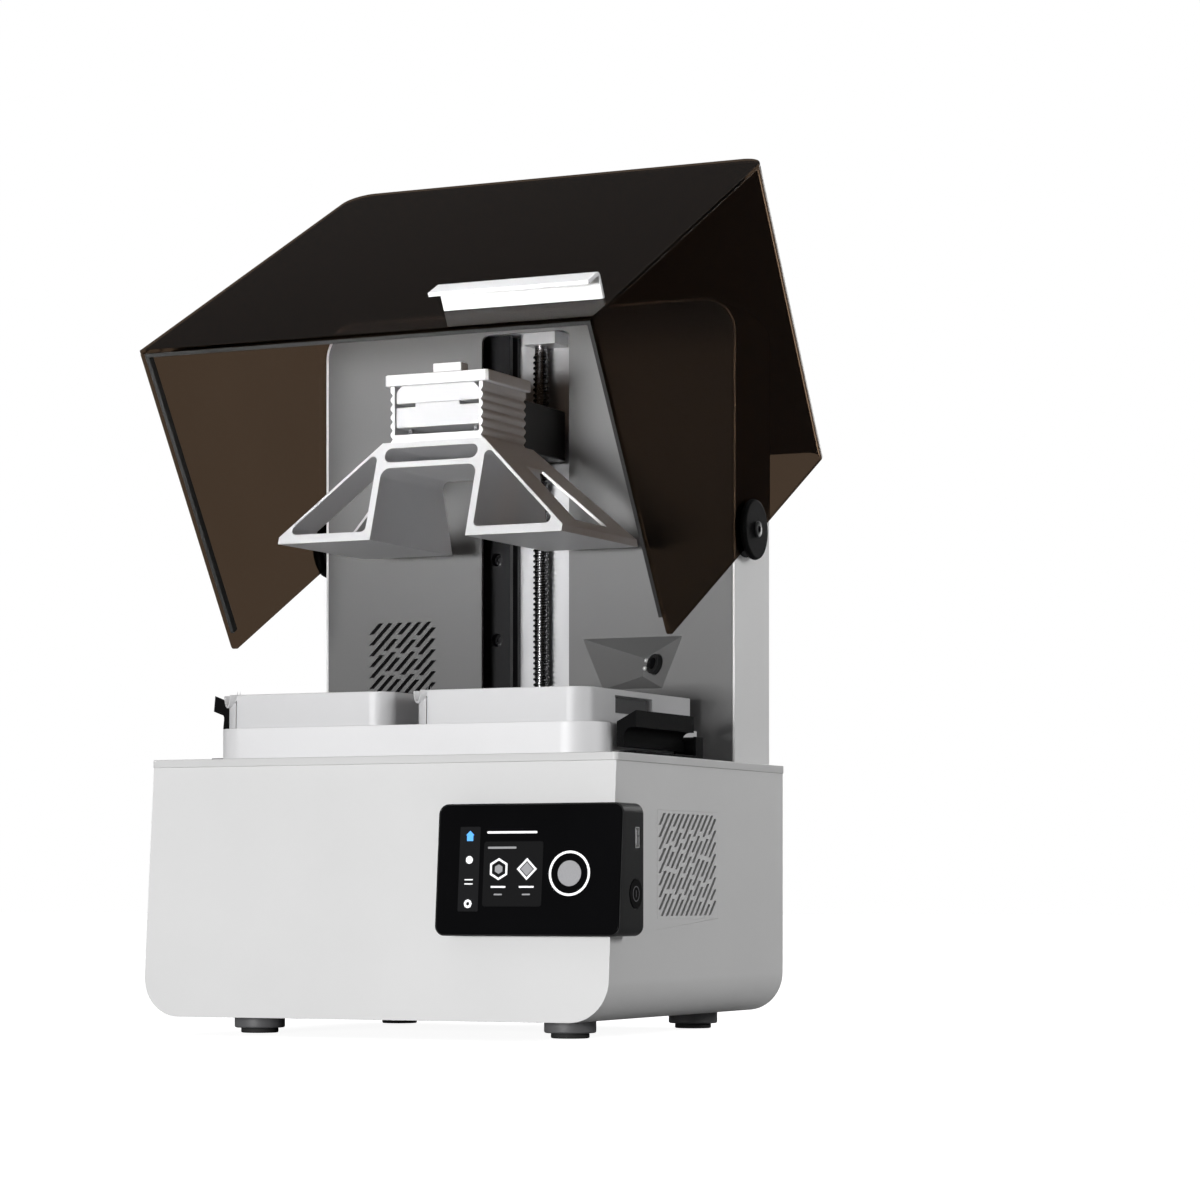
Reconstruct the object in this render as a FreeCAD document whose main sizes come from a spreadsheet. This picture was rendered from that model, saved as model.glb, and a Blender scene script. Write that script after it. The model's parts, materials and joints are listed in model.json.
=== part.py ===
import FreeCAD, Part
import math
import os

import Sketcher
from FreeCAD import Placement, Rotation, Vector

# A desktop resin printer: a white base with a raked front, a rear column that carries the lift,
# two resin trays on the top plate and a smoked hood that swings up on two side hinges.
# Frame: X to the viewer's right, Y to the back, Z up. The origin is on the floor, under the middle
# of the top plate. The hood stands open and the build platform is raised, as in use.

doc = FreeCAD.newDocument("resin_printer")
sheet = doc.addObject("Spreadsheet::Sheet", "sizes")

# Driving sizes, in millimetres and degrees.
table = [
    ("base_width", 360.0, "top plate from side to side"),
    ("base_depth", 294.0, "top plate from front to back"),
    ("base_height", 192.0, "floor to top of the top plate"),
    ("plate_thick", 5.5, "thickness of the top plate"),
    ("plate_lip", 1.0, "top plate past the base shell"),
    ("plate_round", 3.0, "upright corners of the top plate"),
    ("front_rake", 14.5, "lower front edge in front of the upper one"),
    ("shell_wall", 2.0, "wall of the base shell"),
    ("base_round", 28.0, "lower side edges of the base"),
    ("foot_height", 12.6, "floor to underside of the base"),
    ("pad_height", 3.6, "rubber pad under each foot"),
    ("pad_radius", 13.2, "rubber pad under each foot"),
    ("foot_radius", 17.8, "foot above its pad"),
    ("foot_span", 243.6, "feet from side to side"),
    ("foot_front", 97.0, "front feet in front of the middle"),
    ("foot_back", 112.0, "rear feet behind the middle"),
    ("rear_thick", 3.0, "rear panel"),
    ("grille_width", 104.0, "side grille along the base"),
    ("grille_tall", 74.0, "side grille upwards"),
    ("grille_back", 24.0, "rear edge of the side grille behind the middle"),
    ("grille_low", 81.0, "lower edge of the side grille above the floor"),
    ("grille_rim", 2.0, "side grille around its slots"),
    ("slot_wide", 4.0, "vent slot from side to side"),
    ("slot_long", 17.0, "height of the longer vent slots, about"),
    ("slot_short", 11.0, "height of the shorter vent slots, about"),
    ("slot_gap", 3.0, "between the ends of vent slots"),
    ("vent_pitch", 8.2, "vent slots side by side"),
    ("screen_width", 228.0, "exposure screen from side to side"),
    ("screen_depth", 132.0, "exposure screen from front to back"),
    ("screen_gap", 0.4, "exposure screen to the edge of its window"),
    ("screen_drop", 0.1, "exposure screen below the plate's top"),
    ("work_y", -26.3, "middle of screen, trays and platform"),
    ("lamp_rim", 6.0, "lamp housing past the screen at its top"),
    ("lamp_taper", 34.0, "lamp housing draws in by this much on each side"),
    ("lamp_seat", 9.0, "width of the ledge that carries the screen"),
    ("lamp_board_thick", 2.0, "lamp board"),
    ("sink_height", 30.0, "heat sink with its fins"),
    ("sink_base", 5.0, "heat sink's own plate"),
    ("fin_thick", 2.0, "heat sink fin"),
    ("fin_pitch", 12.0, "heat sink fins side by side"),
    ("column_inset", 11.8, "column's sides inside the top plate's"),
    ("column_depth", 65.5, "column from front to back"),
    ("column_front", 80.8, "front of the column behind the middle"),
    ("column_tall", 337.0, "column above the top plate"),
    ("column_wall", 2.0, "column wall"),
    ("column_round", 26.0, "upper side corners of the column"),
    ("column_back_round", 25.0, "upper rear edge of the column"),
    ("panel_thick", 2.5, "column front panel"),
    ("panel_gap", 0.3, "column front panel to the column's edge"),
    ("lift_slot_width", 72.0, "slot that the arm runs in"),
    ("lift_slot_head", 16.0, "top of that slot below the column's top"),
    ("lift_slot_low", 6.0, "foot of that slot above the plate"),
    ("lift_slot_round", 6.0, "corners of that slot"),
    ("vent_left", -131.0, "left edge of the column vent"),
    ("vent_low", 248.0, "lower edge of the column vent above the floor"),
    ("vent_wide", 57.0, "column vent"),
    ("vent_tall", 54.0, "column vent"),
    ("channel_left", 62.0, "lift channel left of the middle"),
    ("channel_right", 46.0, "lift channel right of the middle"),
    ("channel_set", 5.2, "lift channel behind the column's front"),
    ("channel_deep", 36.0, "lift channel from front to back"),
    ("channel_wall", 4.0, "lift channel wall"),
    ("channel_round", 12.0, "inner corners of the lift channel"),
    ("channel_head", 8.0, "lift channel's top below the column's"),
    ("rail_x", -33.0, "middle of the guide rail"),
    ("rail_wide", 22.0, "guide rail head"),
    ("rail_deep", 18.0, "guide rail from its seat to its face"),
    ("rail_waist", 3.0, "guide rail groove on each side"),
    ("rail_cheek", 5.0, "guide rail face to its groove"),
    ("rail_bevel", 3.0, "slope at each edge of the guide rail groove"),
    ("rail_neck", 2.0, "floor of the guide rail groove"),
    ("rail_low", 6.0, "foot of the guide rail above the plate"),
    ("rail_end", 6.0, "guide rail's top below the lift channel's"),
    ("rail_pitch", 60.0, "guide rail bolt holes"),
    ("rail_hole", 4.8, "guide rail counterbore radius"),
    ("rail_hole_deep", 9.0, "guide rail counterbore depth"),
    ("block_wide", 44.0, "rail block from side to side"),
    ("block_front", 7.2, "rail block's face behind the column's front"),
    ("block_deep", 22.0, "rail block from front to back"),
    ("block_under", 12.0, "foot of the rail block below the arm"),
    ("block_tall", 60.0, "rail block upwards"),
    ("run_gap", 0.4, "running clearance of sliding and turning pieces"),
    ("screw_radius", 6.0, "lead screw"),
    ("screw_set", 27.2, "lead screw's axis behind the column's front"),
    ("screw_drop", 16.5, "top of the lead screw's thread below the lift channel's top"),
    ("journal_radius", 4.8, "upper end of the lead screw"),
    ("journal_tall", 9.0, "upper end of the lead screw"),
    ("bearing_tall", 10.0, "top bearing block"),
    ("bearing_wide", 27.0, "top bearing block"),
    ("motor_wide", 56.0, "lift motor"),
    ("motor_tall", 50.0, "lift motor"),
    ("motor_cut", 4.0, "lift motor corners"),
    ("nut_wide", 24.0, "lead nut housing"),
    ("nut_over", 4.0, "foot of the lead nut above the arm's underside"),
    ("nut_tall", 24.0, "lead nut housing upwards"),
    ("arm_wide", 60.0, "lift arm"),
    ("arm_tall", 37.0, "lift arm upwards"),
    ("arm_chamfer", 4.0, "lower front edge of the lift arm"),
    ("head_wide", 73.4, "platform head"),
    ("head_deep", 68.0, "platform head from front to back"),
    ("head_bar", 6.0, "lower bar of the platform head"),
    ("head_side", 3.4, "side walls of the platform head"),
    ("head_tall", 40.5, "platform head below its top plate"),
    ("groove_wide", 4.6, "grooves in the head's sides"),
    ("groove_bite", 1.8, "depth of those grooves"),
    ("groove_pitch", 6.2, "grooves one above another"),
    ("cap_wide", 82.0, "head's top plate"),
    ("cap_deep", 71.0, "head's top plate from front to back"),
    ("cap_thick", 8.0, "head's top plate"),
    ("cap_cut", 2.0, "cut corners of the head's top plate"),
    ("clamp_gap", 0.6, "clamp blocks to the head's side walls"),
    ("clamp_rise", 5.0, "lower clamp block above the head's lower bar"),
    ("clamp_split", 17.0, "lower clamp block upwards"),
    ("clamp_slit", 2.6, "slits between the clamp blocks"),
    ("clamp_slit_long", 15.0, "slits between the clamp blocks"),
    ("clamp_set", 1.5, "clamp blocks behind the head's front"),
    ("clamp_bevel", 4.0, "upper clamp block's upper edges"),
    ("level_radius", 2.2, "levelling screws"),
    ("level_inset", 10.0, "levelling screws from the clamp blocks' front and rear"),
    ("level_span", 52.0, "levelling screws from side to side"),
    ("platform_low", 346.0, "underside of the raised platform above the floor"),
    ("platform_wide", 223.0, "platform from side to side"),
    ("platform_deep", 126.3, "platform from front to back"),
    ("platform_tall", 70.5, "platform's foot to its neck"),
    ("platform_lean", 24.0, "front and rear faces lean in by"),
    ("platform_neck", 80.0, "platform at its neck"),
    ("platform_tip", 5.0, "blunt edge of each wing"),
    ("platform_foot", 6.3, "flat plate of each wing"),
    ("platform_skin", 2.0, "sloping wall of each wing"),
    ("platform_leg", 5.0, "upright wall of each wing"),
    ("arch_wide", 75.0, "opening between the wings"),
    ("arch_tall", 52.0, "opening between the wings"),
    ("arch_round", 7.0, "opening between the wings"),
    ("bar_slot_wide", 73.0, "slot below the neck"),
    ("bar_slot_tall", 10.4, "slot below the neck"),
    ("bar_slot_low", 56.0, "slot above the platform's foot"),
    ("bar_slot_round", 5.0, "ends of the slot below the neck"),
    ("wing_round", 3.5, "corners of the wing windows"),
    ("side_cut_rim", 33.0, "sloping wall in front of and behind its window"),
    ("side_cut_in", 60.0, "inner edge of that window from the middle"),
    ("side_cut_out", 104.5, "outer edge of that window from the middle"),
    ("lever_half", 5.6, "half width of the release lever's arm"),
    ("thumb_half", 11.0, "half width of its thumb block"),
    ("thumb_tall", 8.5, "thumb block above the head"),
    ("thumb_deep", 11.0, "thumb block from front to back"),
    ("lever_thick", 2.6, "release lever's arm"),
    ("lever_pivot_set", 28.3, "release lever's pin behind the screen's middle"),
    ("lever_reach", 46.0, "release lever from pin to thumb block"),
    ("barrel_radius", 3.2, "release lever's barrel"),
    ("pivot_radius", 1.6, "release lever's pin"),
    ("ear_thick", 2.4, "ears that hold the pin"),
    ("lever_lift", 0.4, "release lever above the head"),
    ("vat_wide", 298.0, "vat frame"),
    ("vat_ahead", 93.7, "vat frame in front of the screen's middle"),
    ("vat_behind", 102.3, "vat frame behind the screen's middle"),
    ("vat_tall", 22.5, "vat frame"),
    ("vat_round", 25.0, "upright corners of the vat frame"),
    ("vat_side", 7.0, "outer tray walls inside the vat frame's sides"),
    ("vat_end", 4.0, "front and rear tray walls inside the vat frame's"),
    ("tray_split", 9.5, "inner wall of each tray from the middle"),
    ("tray_top", 46.2, "tray rim above the plate"),
    ("tray_wall", 3.0, "tray wall"),
    ("tray_round", 15.0, "upright corners of the trays"),
    ("tray_gap", 0.3, "trays to the vat frame"),
    ("film_thick", 0.8, "release film"),
    ("spout_radius", 9.0, "pour spout"),
    ("spout_wall", 1.8, "pour spout"),
    ("spout_reach", 17.0, "pour spout from the corner's middle"),
    ("grip_long", 62.0, "finger recess in the outer tray wall"),
    ("grip_tall", 12.0, "finger recess"),
    ("grip_under", 4.2, "finger recess below the rim"),
    ("grip_deep", 4.5, "finger recess, with the wall led around it"),
    ("grip_ahead", 10.0, "finger recess in front of the screen's middle"),
    ("clip_gap", 0.8, "vat lever's bracket to the vat frame"),
    ("clip_wide", 17.1, "vat lever's bracket from side to side"),
    ("clip_ear", 2.2, "ears of the vat lever's bracket"),
    ("clip_pin_set", 46.3, "vat lever's pin behind the screen's middle"),
    ("clip_pin_z", 10.0, "vat lever's pin above the plate"),
    ("clip_pin_radius", 3.0, "vat lever's pin"),
    ("clip_eye", 6.5, "vat lever's eye"),
    ("clip_long", 108.0, "vat lever from pin to tip"),
    ("clip_tall", 30.5, "top of the vat lever's lip above the plate"),
    ("clip_low", 6.0, "underside of the vat lever above the plate"),
    ("clip_web", 5.5, "vat lever's upright web"),
    ("clip_lip", 11.5, "outer face of the vat lever's lip"),
    ("clip_fall", 7.5, "lip's top falls inwards by"),
    ("clip_hollow", 6.0, "hollow under the vat lever's lip"),
    ("clip_left_lift", 9.5, "left vat lever stands raised by this angle"),
    ("display_in", 121.4, "display unit's left side inside the base's right side"),
    ("display_wide", 136.4, "display unit"),
    ("display_low", 70.0, "underside of the display unit above the floor"),
    ("display_tall", 88.0, "display unit"),
    ("display_proud", 17.7, "display unit in front of the base"),
    ("display_back", -135.6, "rear of the display unit"),
    ("display_round", 7.0, "corners of the display unit"),
    ("glass_thick", 1.6, "display glass"),
    ("glass_rim", 1.2, "case left around the display glass"),
    ("notch_gap", 0.3, "display unit to the base shell"),
    ("button_y", -148.0, "power button"),
    ("button_z", 98.0, "power button above the floor"),
    ("button_radius", 9.5, "power button"),
    ("button_thick", 4.6, "power button"),
    ("button_proud", 0.2, "power button out of its side"),
    ("button_well", 6.4, "depth of the power button's hole"),
    ("socket_y", -145.4, "middle of the data socket"),
    ("socket_low", 128.4, "foot of the data socket above the floor"),
    ("socket_tall", 13.6, "data socket"),
    ("socket_wide", 6.4, "data socket"),
    ("socket_deep", 11.0, "data socket"),
    ("socket_wall", 0.5, "data socket's metal shell"),
    ("camera_x", 87.3, "middle of the camera pocket"),
    ("camera_low", 247.5, "lower edge of the camera pocket above the floor"),
    ("camera_tall", 37.5, "camera pocket"),
    ("camera_top_half", 39.8, "half width of the pocket at its top"),
    ("camera_low_half", 23.5, "half width of the pocket at its foot"),
    ("camera_deep", 20.0, "camera pocket"),
    ("camera_ridge", 13.0, "height of the pocket's deep end"),
    ("camera_ridge_low", 11.5, "deep end above the pocket's foot"),
    ("camera_back", 26.0, "rear of the pocket's housing behind the column's front"),
    ("camera_wall", 1.2, "housing around the camera pocket"),
    ("lens_radius", 7.8, "camera lens"),
    ("lens_long", 8.0, "camera lens"),
    ("lens_proud", 3.0, "camera lens out of its face"),
    ("lens_along", 17.0, "lens from the pocket's deep end"),
    ("lens_rise", 17.8, "lens above the pocket's foot"),
    ("sensor_deep", 8.0, "limit sensor"),
    ("sensor_wide", 8.5, "limit sensor"),
    ("sensor_drop", 35.0, "limit sensor's foot below the lift channel's top"),
    ("sensor_tall", 12.0, "limit sensor"),
    ("hinge_set", 17.2, "hood hinge behind the column's front"),
    ("hinge_z", 361.5, "hood hinge above the floor"),
    ("hinge_disc", 20.0, "hinge disc on the column"),
    ("hinge_disc_thick", 1.6, "hinge disc on the column"),
    ("hinge_pin", 4.0, "hinge pin"),
    ("hinge_cap", 22.0, "hinge cap on the hood"),
    ("hinge_cap_thick", 5.0, "hinge cap out of the hood's side"),
    ("hood_open", 58.0, "hood's opening angle"),
    ("hood_front_in", 4.6, "closed hood's lower front edge behind the plate's"),
    ("hood_lap", 13.6, "closed hood's lower rear edge behind the column's front"),
    ("hood_rake", 23.7, "closed hood's upper edges behind its lower ones"),
    ("hood_over", 7.0, "closed hood's top above the column"),
    ("hood_seat", 0.8, "closed hood above the plate"),
    ("hood_side_gap", 6.2, "hood's outer side at its rim to the column's side"),
    ("hood_draft", 1.75, "each hood side leans in by this much"),
    ("hood_round", 20.0, "upper side edges of the hood"),
    ("hood_wall", 3.0, "hood panels"),
    ("hood_tip", 4.0, "lower rear corners of the hood"),
    ("gasket_wide", 3.0, "gasket along the hood's rim"),
    ("gasket_tall", 6.0, "gasket along the hood's rim"),
    ("gasket_stop", 14.0, "gasket ends before the hood's rear edge"),
    ("handle_left", 48.2, "left end of the hood handle"),
    ("handle_long", 119.2, "hood handle"),
    ("handle_up", 35.0, "hood handle above the hood's rim"),
    ("handle_out", 19.0, "hood handle out of the front panel"),
    ("handle_lip", 20.0, "hood handle's lip"),
    ("handle_thick", 3.0, "hood handle's metal"),
    ("handle_bend", 4.0, "hood handle's outer bend"),
    ("outlet_x", -110.0, "middle of the rear air outlet"),
    ("outlet_z", 100.0, "middle of the rear air outlet above the floor"),
    ("outlet_half", 25.0, "half width and height of the rear air outlet"),
    ("outlet_slot", 4.0, "slots of the rear air outlet and the webs between"),
    ("inlet_x", 110.0, "middle of the power inlet"),
    ("inlet_z", 60.0, "middle of the power inlet above the floor"),
    ("inlet_wide", 27.0, "power inlet body"),
    ("inlet_tall", 20.0, "power inlet body"),
    ("inlet_rim", 5.0, "power inlet's flange past its body"),
    ("inlet_deep", 24.0, "power inlet body behind the panel"),
    ("inlet_well", 16.0, "depth of the power inlet's opening"),
    ("inlet_wall", 2.0, "power inlet's walls"),
    ("board_wide", 80.0, "mainboard from side to side"),
    ("board_long", 120.0, "mainboard from front to back"),
    ("board_thick", 1.6, "mainboard"),
    ("board_rise", 8.0, "mainboard above the base's floor"),
    ("supply_wide", 84.0, "power supply from side to side"),
    ("supply_long", 156.0, "power supply from front to back"),
    ("supply_tall", 40.0, "power supply"),
    ("supply_gap", 7.9, "power supply to the heat sink's fins"),
    ("post_side", 6.0, "mainboard posts"),
    ("chip_tall", 9.0, "parts on the mainboard"),
    ("chip_side", 22.0, "largest part on the mainboard"),
]
values = {}
for row, (name, value, note) in enumerate(table, start=1):
    sheet.set("A%d" % row, note)
    sheet.set("B%d" % row, str(value))
    sheet.setAlias("B%d" % row, name)
    values[name] = value
doc.recompute()


# A size carries its number and the sheet expression that gives it, so that sums of sizes can be
# bound to a feature as they stand.
class Size:
    def __init__(self, text, value):
        self.text = text
        self.value = value

    def __add__(self, other):
        other = as_size(other)
        return Size("(%s + %s)" % (self.text, other.text), self.value + other.value)

    def __sub__(self, other):
        other = as_size(other)
        return Size("(%s - %s)" % (self.text, other.text), self.value - other.value)

    def __mul__(self, other):
        other = as_size(other)
        return Size("(%s * %s)" % (self.text, other.text), self.value * other.value)

    def __truediv__(self, other):
        other = as_size(other)
        return Size("(%s / %s)" % (self.text, other.text), self.value / other.value)

    def __neg__(self):
        return Size("(0 - %s)" % self.text, -self.value)


def as_size(item):
    if isinstance(item, Size):
        return item
    return Size("(0 - %r)" % -float(item) if item < 0 else repr(float(item)), float(item))


def root_of(item):
    return Size("sqrt(%s)" % item.text, math.sqrt(item.value))


class Named:
    def __getattr__(self, name):
        return Size("sizes." + name, values[name])


s = Named()
past = as_size(4.0)  # how far a cutter runs past the face that it cuts


def bind(item, path, size):
    item.setExpression(path, as_size(size).text)


# Simple solids between two corners, or along one axis.
def box(name, xs, ys, zs):
    item = doc.addObject("Part::Box", name)
    item.Label = name
    for path, place, (low, high) in (("Length", "x", xs), ("Width", "y", ys), ("Height", "z", zs)):
        low = as_size(low)
        bind(item, path, as_size(high) - low)
        bind(item, "Placement.Base." + place, low)
    return item


turns = {
    "x": Rotation(Vector(0, 1, 0), 90),
    "y": Rotation(Vector(1, 0, 0), -90),
    "z": Rotation(),
}


def cylinder(name, axis, centre, span, radius):
    item = doc.addObject("Part::Cylinder", name)
    item.Label = name
    item.Placement = Placement(Vector(), turns[axis])
    base = list(centre)
    base.insert("xyz".index(axis), span[0])
    for place, value in zip("xyz", base):
        bind(item, "Placement.Base." + place, value)
    bind(item, "Height", as_size(span[1]) - as_size(span[0]))
    bind(item, "Radius", radius)
    return item


def fuse(name, items):
    item = doc.addObject("Part::MultiFuse", name)
    item.Label = name
    item.Shapes = items
    return item


def common(name, first, second):
    item = doc.addObject("Part::Common", name)
    item.Label = name
    item.Base = first
    item.Tool = second
    return item


def cut(name, base, tools):
    for number, tool in enumerate(tools, start=1):
        label = name if number == len(tools) else "%s_step%d" % (name, number)
        item = doc.addObject("Part::Cut", label)
        item.Label = label
        item.Base = base
        item.Tool = tool
        base = item
    return base


def group(name, items):
    item = doc.addObject("Part::Compound", name)
    item.Label = name
    item.Links = items
    return item


# Sketches: closed outlines whose corners are placed by the sheet, each corner sharp or rounded.
roles = {"x": "YZ_Plane", "y": "XZ_Plane", "z": "XY_Plane"}


def new_sketch(body, name, axis, level):
    sketch = body.newObject("Sketcher::SketchObject", name)
    for plane in body.Origin.OriginFeatures:
        if plane.Role == roles[axis]:
            sketch.AttachmentSupport = [(plane, "")]
    sketch.MapMode = "FlatFace"
    level = as_size(level)
    bind(sketch, "AttachmentOffset.Base.z", -level if axis == "y" else level)
    return sketch


def hold(sketch, kind, geometry, point, size):
    size = as_size(size)
    number = sketch.addConstraint(Sketcher.Constraint(kind, -1, 1, geometry, point, size.value))
    sketch.setExpression("Constraints[%d]" % number, size.text)


def outline(sketch, corners):
    count = len(corners)
    spots = [Vector(as_size(c[0]).value, as_size(c[1]).value, 0) for c in corners]
    radii = [as_size(c[2]) if len(c) > 2 else None for c in corners]
    starts = []
    ends = []
    arcs = []
    for i, spot in enumerate(spots):
        if radii[i] is None:
            starts.append(spot)
            ends.append(spot)
            arcs.append(None)
            continue
        back = (spots[i - 1] - spot).normalize()
        ahead = (spots[(i + 1) % count] - spot).normalize()
        half = back.getAngle(ahead) / 2
        reach = radii[i].value / math.tan(half)
        middle = spot + (back + ahead).normalize() * (radii[i].value / math.sin(half))
        ends.append(spot + back * reach)
        starts.append(spot + ahead * reach)
        arcs.append(middle)
    lines = []
    for i in range(count):
        line = Part.LineSegment(starts[i], ends[(i + 1) % count])
        lines.append(sketch.addGeometry(line, False))
    for i in range(count):
        before = lines[i - 1]
        after = lines[i]
        if radii[i] is None:
            sketch.addConstraint(Sketcher.Constraint("Coincident", before, 2, after, 1))
            hold(sketch, "DistanceX", after, 1, corners[i][0])
            hold(sketch, "DistanceY", after, 1, corners[i][1])
            continue
        middle = arcs[i]
        first = ends[i] - middle
        last = starts[i] - middle
        turn_left = first.x * last.y - first.y * last.x > 0
        low = math.atan2(first.y, first.x) if turn_left else math.atan2(last.y, last.x)
        high = math.atan2(last.y, last.x) if turn_left else math.atan2(first.y, first.x)
        ring = Part.Circle(middle, Vector(0, 0, 1), radii[i].value)
        arc = sketch.addGeometry(Part.ArcOfCircle(ring, low, high), False)
        head = 1 if turn_left else 2
        tail = 2 if turn_left else 1
        sketch.addConstraint(Sketcher.Constraint("Tangent", before, 2, arc, head))
        sketch.addConstraint(Sketcher.Constraint("Tangent", arc, tail, after, 1))
        number = sketch.addConstraint(Sketcher.Constraint("Radius", arc, radii[i].value))
        sketch.setExpression("Constraints[%d]" % number, radii[i].text)
        mark = sketch.addGeometry(Part.Point(spots[i]), True)
        sketch.addConstraint(Sketcher.Constraint("PointOnObject", mark, 1, before))
        sketch.addConstraint(Sketcher.Constraint("PointOnObject", mark, 1, after))
        hold(sketch, "DistanceX", mark, 1, corners[i][0])
        hold(sketch, "DistanceY", mark, 1, corners[i][1])


def ring(sketch, x, y, radius):
    x = as_size(x)
    y = as_size(y)
    radius = as_size(radius)
    circle = Part.Circle(Vector(x.value, y.value, 0), Vector(0, 0, 1), radius.value)
    number = sketch.addGeometry(circle, False)
    hold(sketch, "DistanceX", number, 3, x)
    hold(sketch, "DistanceY", number, 3, y)
    constraint = sketch.addConstraint(Sketcher.Constraint("Radius", number, radius.value))
    sketch.setExpression("Constraints[%d]" % constraint, radius.text)


def rectangle(xs, ys, radius=None):
    corners = [(xs[0], ys[0]), (xs[1], ys[0]), (xs[1], ys[1]), (xs[0], ys[1])]
    if radius is None:
        return corners
    return [(x, y, radius) for x, y in corners]


def cut_corners(xs, ys, size):
    return [(xs[0] + size, ys[0]), (xs[1] - size, ys[0]), (xs[1], ys[0] + size), (xs[1], ys[1] - size),
            (xs[1] - size, ys[1]), (xs[0] + size, ys[1]), (xs[0], ys[1] - size), (xs[0], ys[0] + size)]


# A body padded along one axis from one level to another; holes are further outlines in its sketch.
def prism(name, axis, span, corners, holes=()):
    body = doc.addObject("PartDesign::Body", name)
    body.Label = name
    sketch = new_sketch(body, name + "_profile", axis, span[0])
    outline(sketch, corners)
    for hole in holes:
        if len(hole) == 3 and not isinstance(hole[0], tuple):
            ring(sketch, *hole)
        else:
            outline(sketch, hole)
    pad = body.newObject("PartDesign::Pad", name + "_pad")
    pad.Profile = sketch
    pad.Reversed = axis == "y"
    bind(pad, "Length", as_size(span[1]) - as_size(span[0]))
    return body


# A pocket in a body, cut from a level towards higher values of the axis, or lower with down set.
def pocket(body, name, axis, level, depth, outlines, down=False):
    sketch = new_sketch(body, name + "_profile", axis, level)
    for corners in outlines:
        if len(corners) == 3 and not isinstance(corners[0], tuple):
            ring(sketch, *corners)
        else:
            outline(sketch, corners)
    item = body.newObject("PartDesign::Pocket", name)
    item.Profile = sketch
    item.Reversed = (axis != "y") != down
    bind(item, "Length", depth)
    return item


def repeat(body, name, feature, pitch, count, second=None):
    sketch = feature.Profile[0]
    item = body.newObject("PartDesign::LinearPattern", name)
    item.Originals = [feature]
    item.Direction = (sketch, ["H_Axis" if pitch[0] == "across" else "V_Axis"])
    item.Mode = "Spacing"
    bind(item, "Offset", pitch[1])
    item.Occurrences = count
    if second is not None:
        item.Direction2 = (sketch, ["V_Axis"])
        item.Mode2 = "Spacing"
        bind(item, "Offset2", second[0])
        item.Occurrences2 = second[1]
    body.Tip = item
    return item


nodes = []


def node(item):
    nodes.append(item)
    return item


# Levels and edges that several pieces share.
plate_top = s.base_height
plate_low = s.base_height - s.plate_thick
shell_half = s.base_width / 2 - s.plate_lip
shell_back = s.base_depth / 2 - s.plate_lip
shell_floor = s.foot_height + s.shell_wall
shell_tall = plate_low - s.foot_height
front_top = s.plate_lip - s.base_depth / 2
front_low = front_top - s.front_rake


def front_at(z):
    return front_top - s.front_rake * (plate_low - z) / shell_tall


# Base: a shell with rounded lower side edges, raked at the front and open to the top and the back.
base_outer = prism(
    "base_outer", "y", (front_low, shell_back),
    [(-shell_half, s.foot_height, s.base_round), (shell_half, s.foot_height, s.base_round),
     (shell_half, plate_low), (-shell_half, plate_low)])
base_rake = prism(
    "base_rake", "x", (-shell_half - past, shell_half + past),
    [(front_low, s.foot_height), (front_top, plate_low), (front_top, plate_low + past),
     (front_low - past, plate_low + past), (front_low - past, s.foot_height)])
inner_half = shell_half - s.shell_wall
inner_round = s.base_round - s.shell_wall
inner_top = plate_low + past
base_inner = prism(
    "base_inner", "y", (front_at(shell_floor) + s.shell_wall, shell_back + past),
    [(-inner_half, shell_floor, inner_round), (inner_half, shell_floor, inner_round),
     (inner_half, inner_top), (-inner_half, inner_top)])
base_inner_rake = prism(
    "base_inner_rake", "x", (-shell_half - past, shell_half + past),
    [(front_at(shell_floor) + s.shell_wall, shell_floor),
     (front_at(inner_top) + s.shell_wall, inner_top),
     (front_at(inner_top) + s.shell_wall, inner_top + past),
     (front_low - past, inner_top + past), (front_low - past, shell_floor)])
base_room = cut("base_room", base_inner, [base_inner_rake])
display_left = shell_half - s.display_in
display_right = display_left + s.display_wide
display_top = s.display_low + s.display_tall
display_notch = box(
    "display_notch", (display_left - s.notch_gap, display_right + past),
    (front_low - past, s.display_back + s.notch_gap), (s.display_low, display_top + s.notch_gap))
grille_front = s.grille_back - s.grille_width
grille_top = s.grille_low + s.grille_tall
grille_window = box(
    "grille_window", (inner_half - past, shell_half + past),
    (grille_front, s.grille_back), (s.grille_low, grille_top))
node(cut("base_shell", base_outer, [base_rake, base_room, display_notch, grille_window]))


# How many times a pitch goes into a length, after the first item.
def count_in(length, first, pitch):
    return int((as_size(length).value - as_size(first).value) / as_size(pitch).value + 1e-6) + 1


def size_value(item):
    return item.value


# Vent slots in a window: rows that lean sideways as much as they rise, from edge to edge, with each row
# divided into even slots, longer ones in every other row.
def vent_slots(xs, zs):
    wide = xs[1] - xs[0]
    tall = zs[1] - zs[0]
    slots = []
    for row in range(count_in(wide + tall, s.slot_wide, s.vent_pitch)):
        shift = s.vent_pitch * row - tall
        low = max(as_size(0), -shift, key=size_value)
        room = min(tall, wide - s.slot_wide - shift, key=size_value) - low
        if room.value < s.slot_wide.value:
            continue
        about = s.slot_long if row % 2 else s.slot_short
        pieces = max(1, round((room.value + s.slot_gap.value) / (about.value + s.slot_gap.value)))
        long = (room - s.slot_gap * (pieces - 1)) / pieces
        for number in range(pieces):
            foot = zs[0] + low + (long + s.slot_gap) * number
            left = xs[0] + shift + foot - zs[0]
            slots.append([(left, foot), (left + s.slot_wide, foot),
                          (left + s.slot_wide + long, foot + long), (left + long, foot + long)])
    return slots


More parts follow.
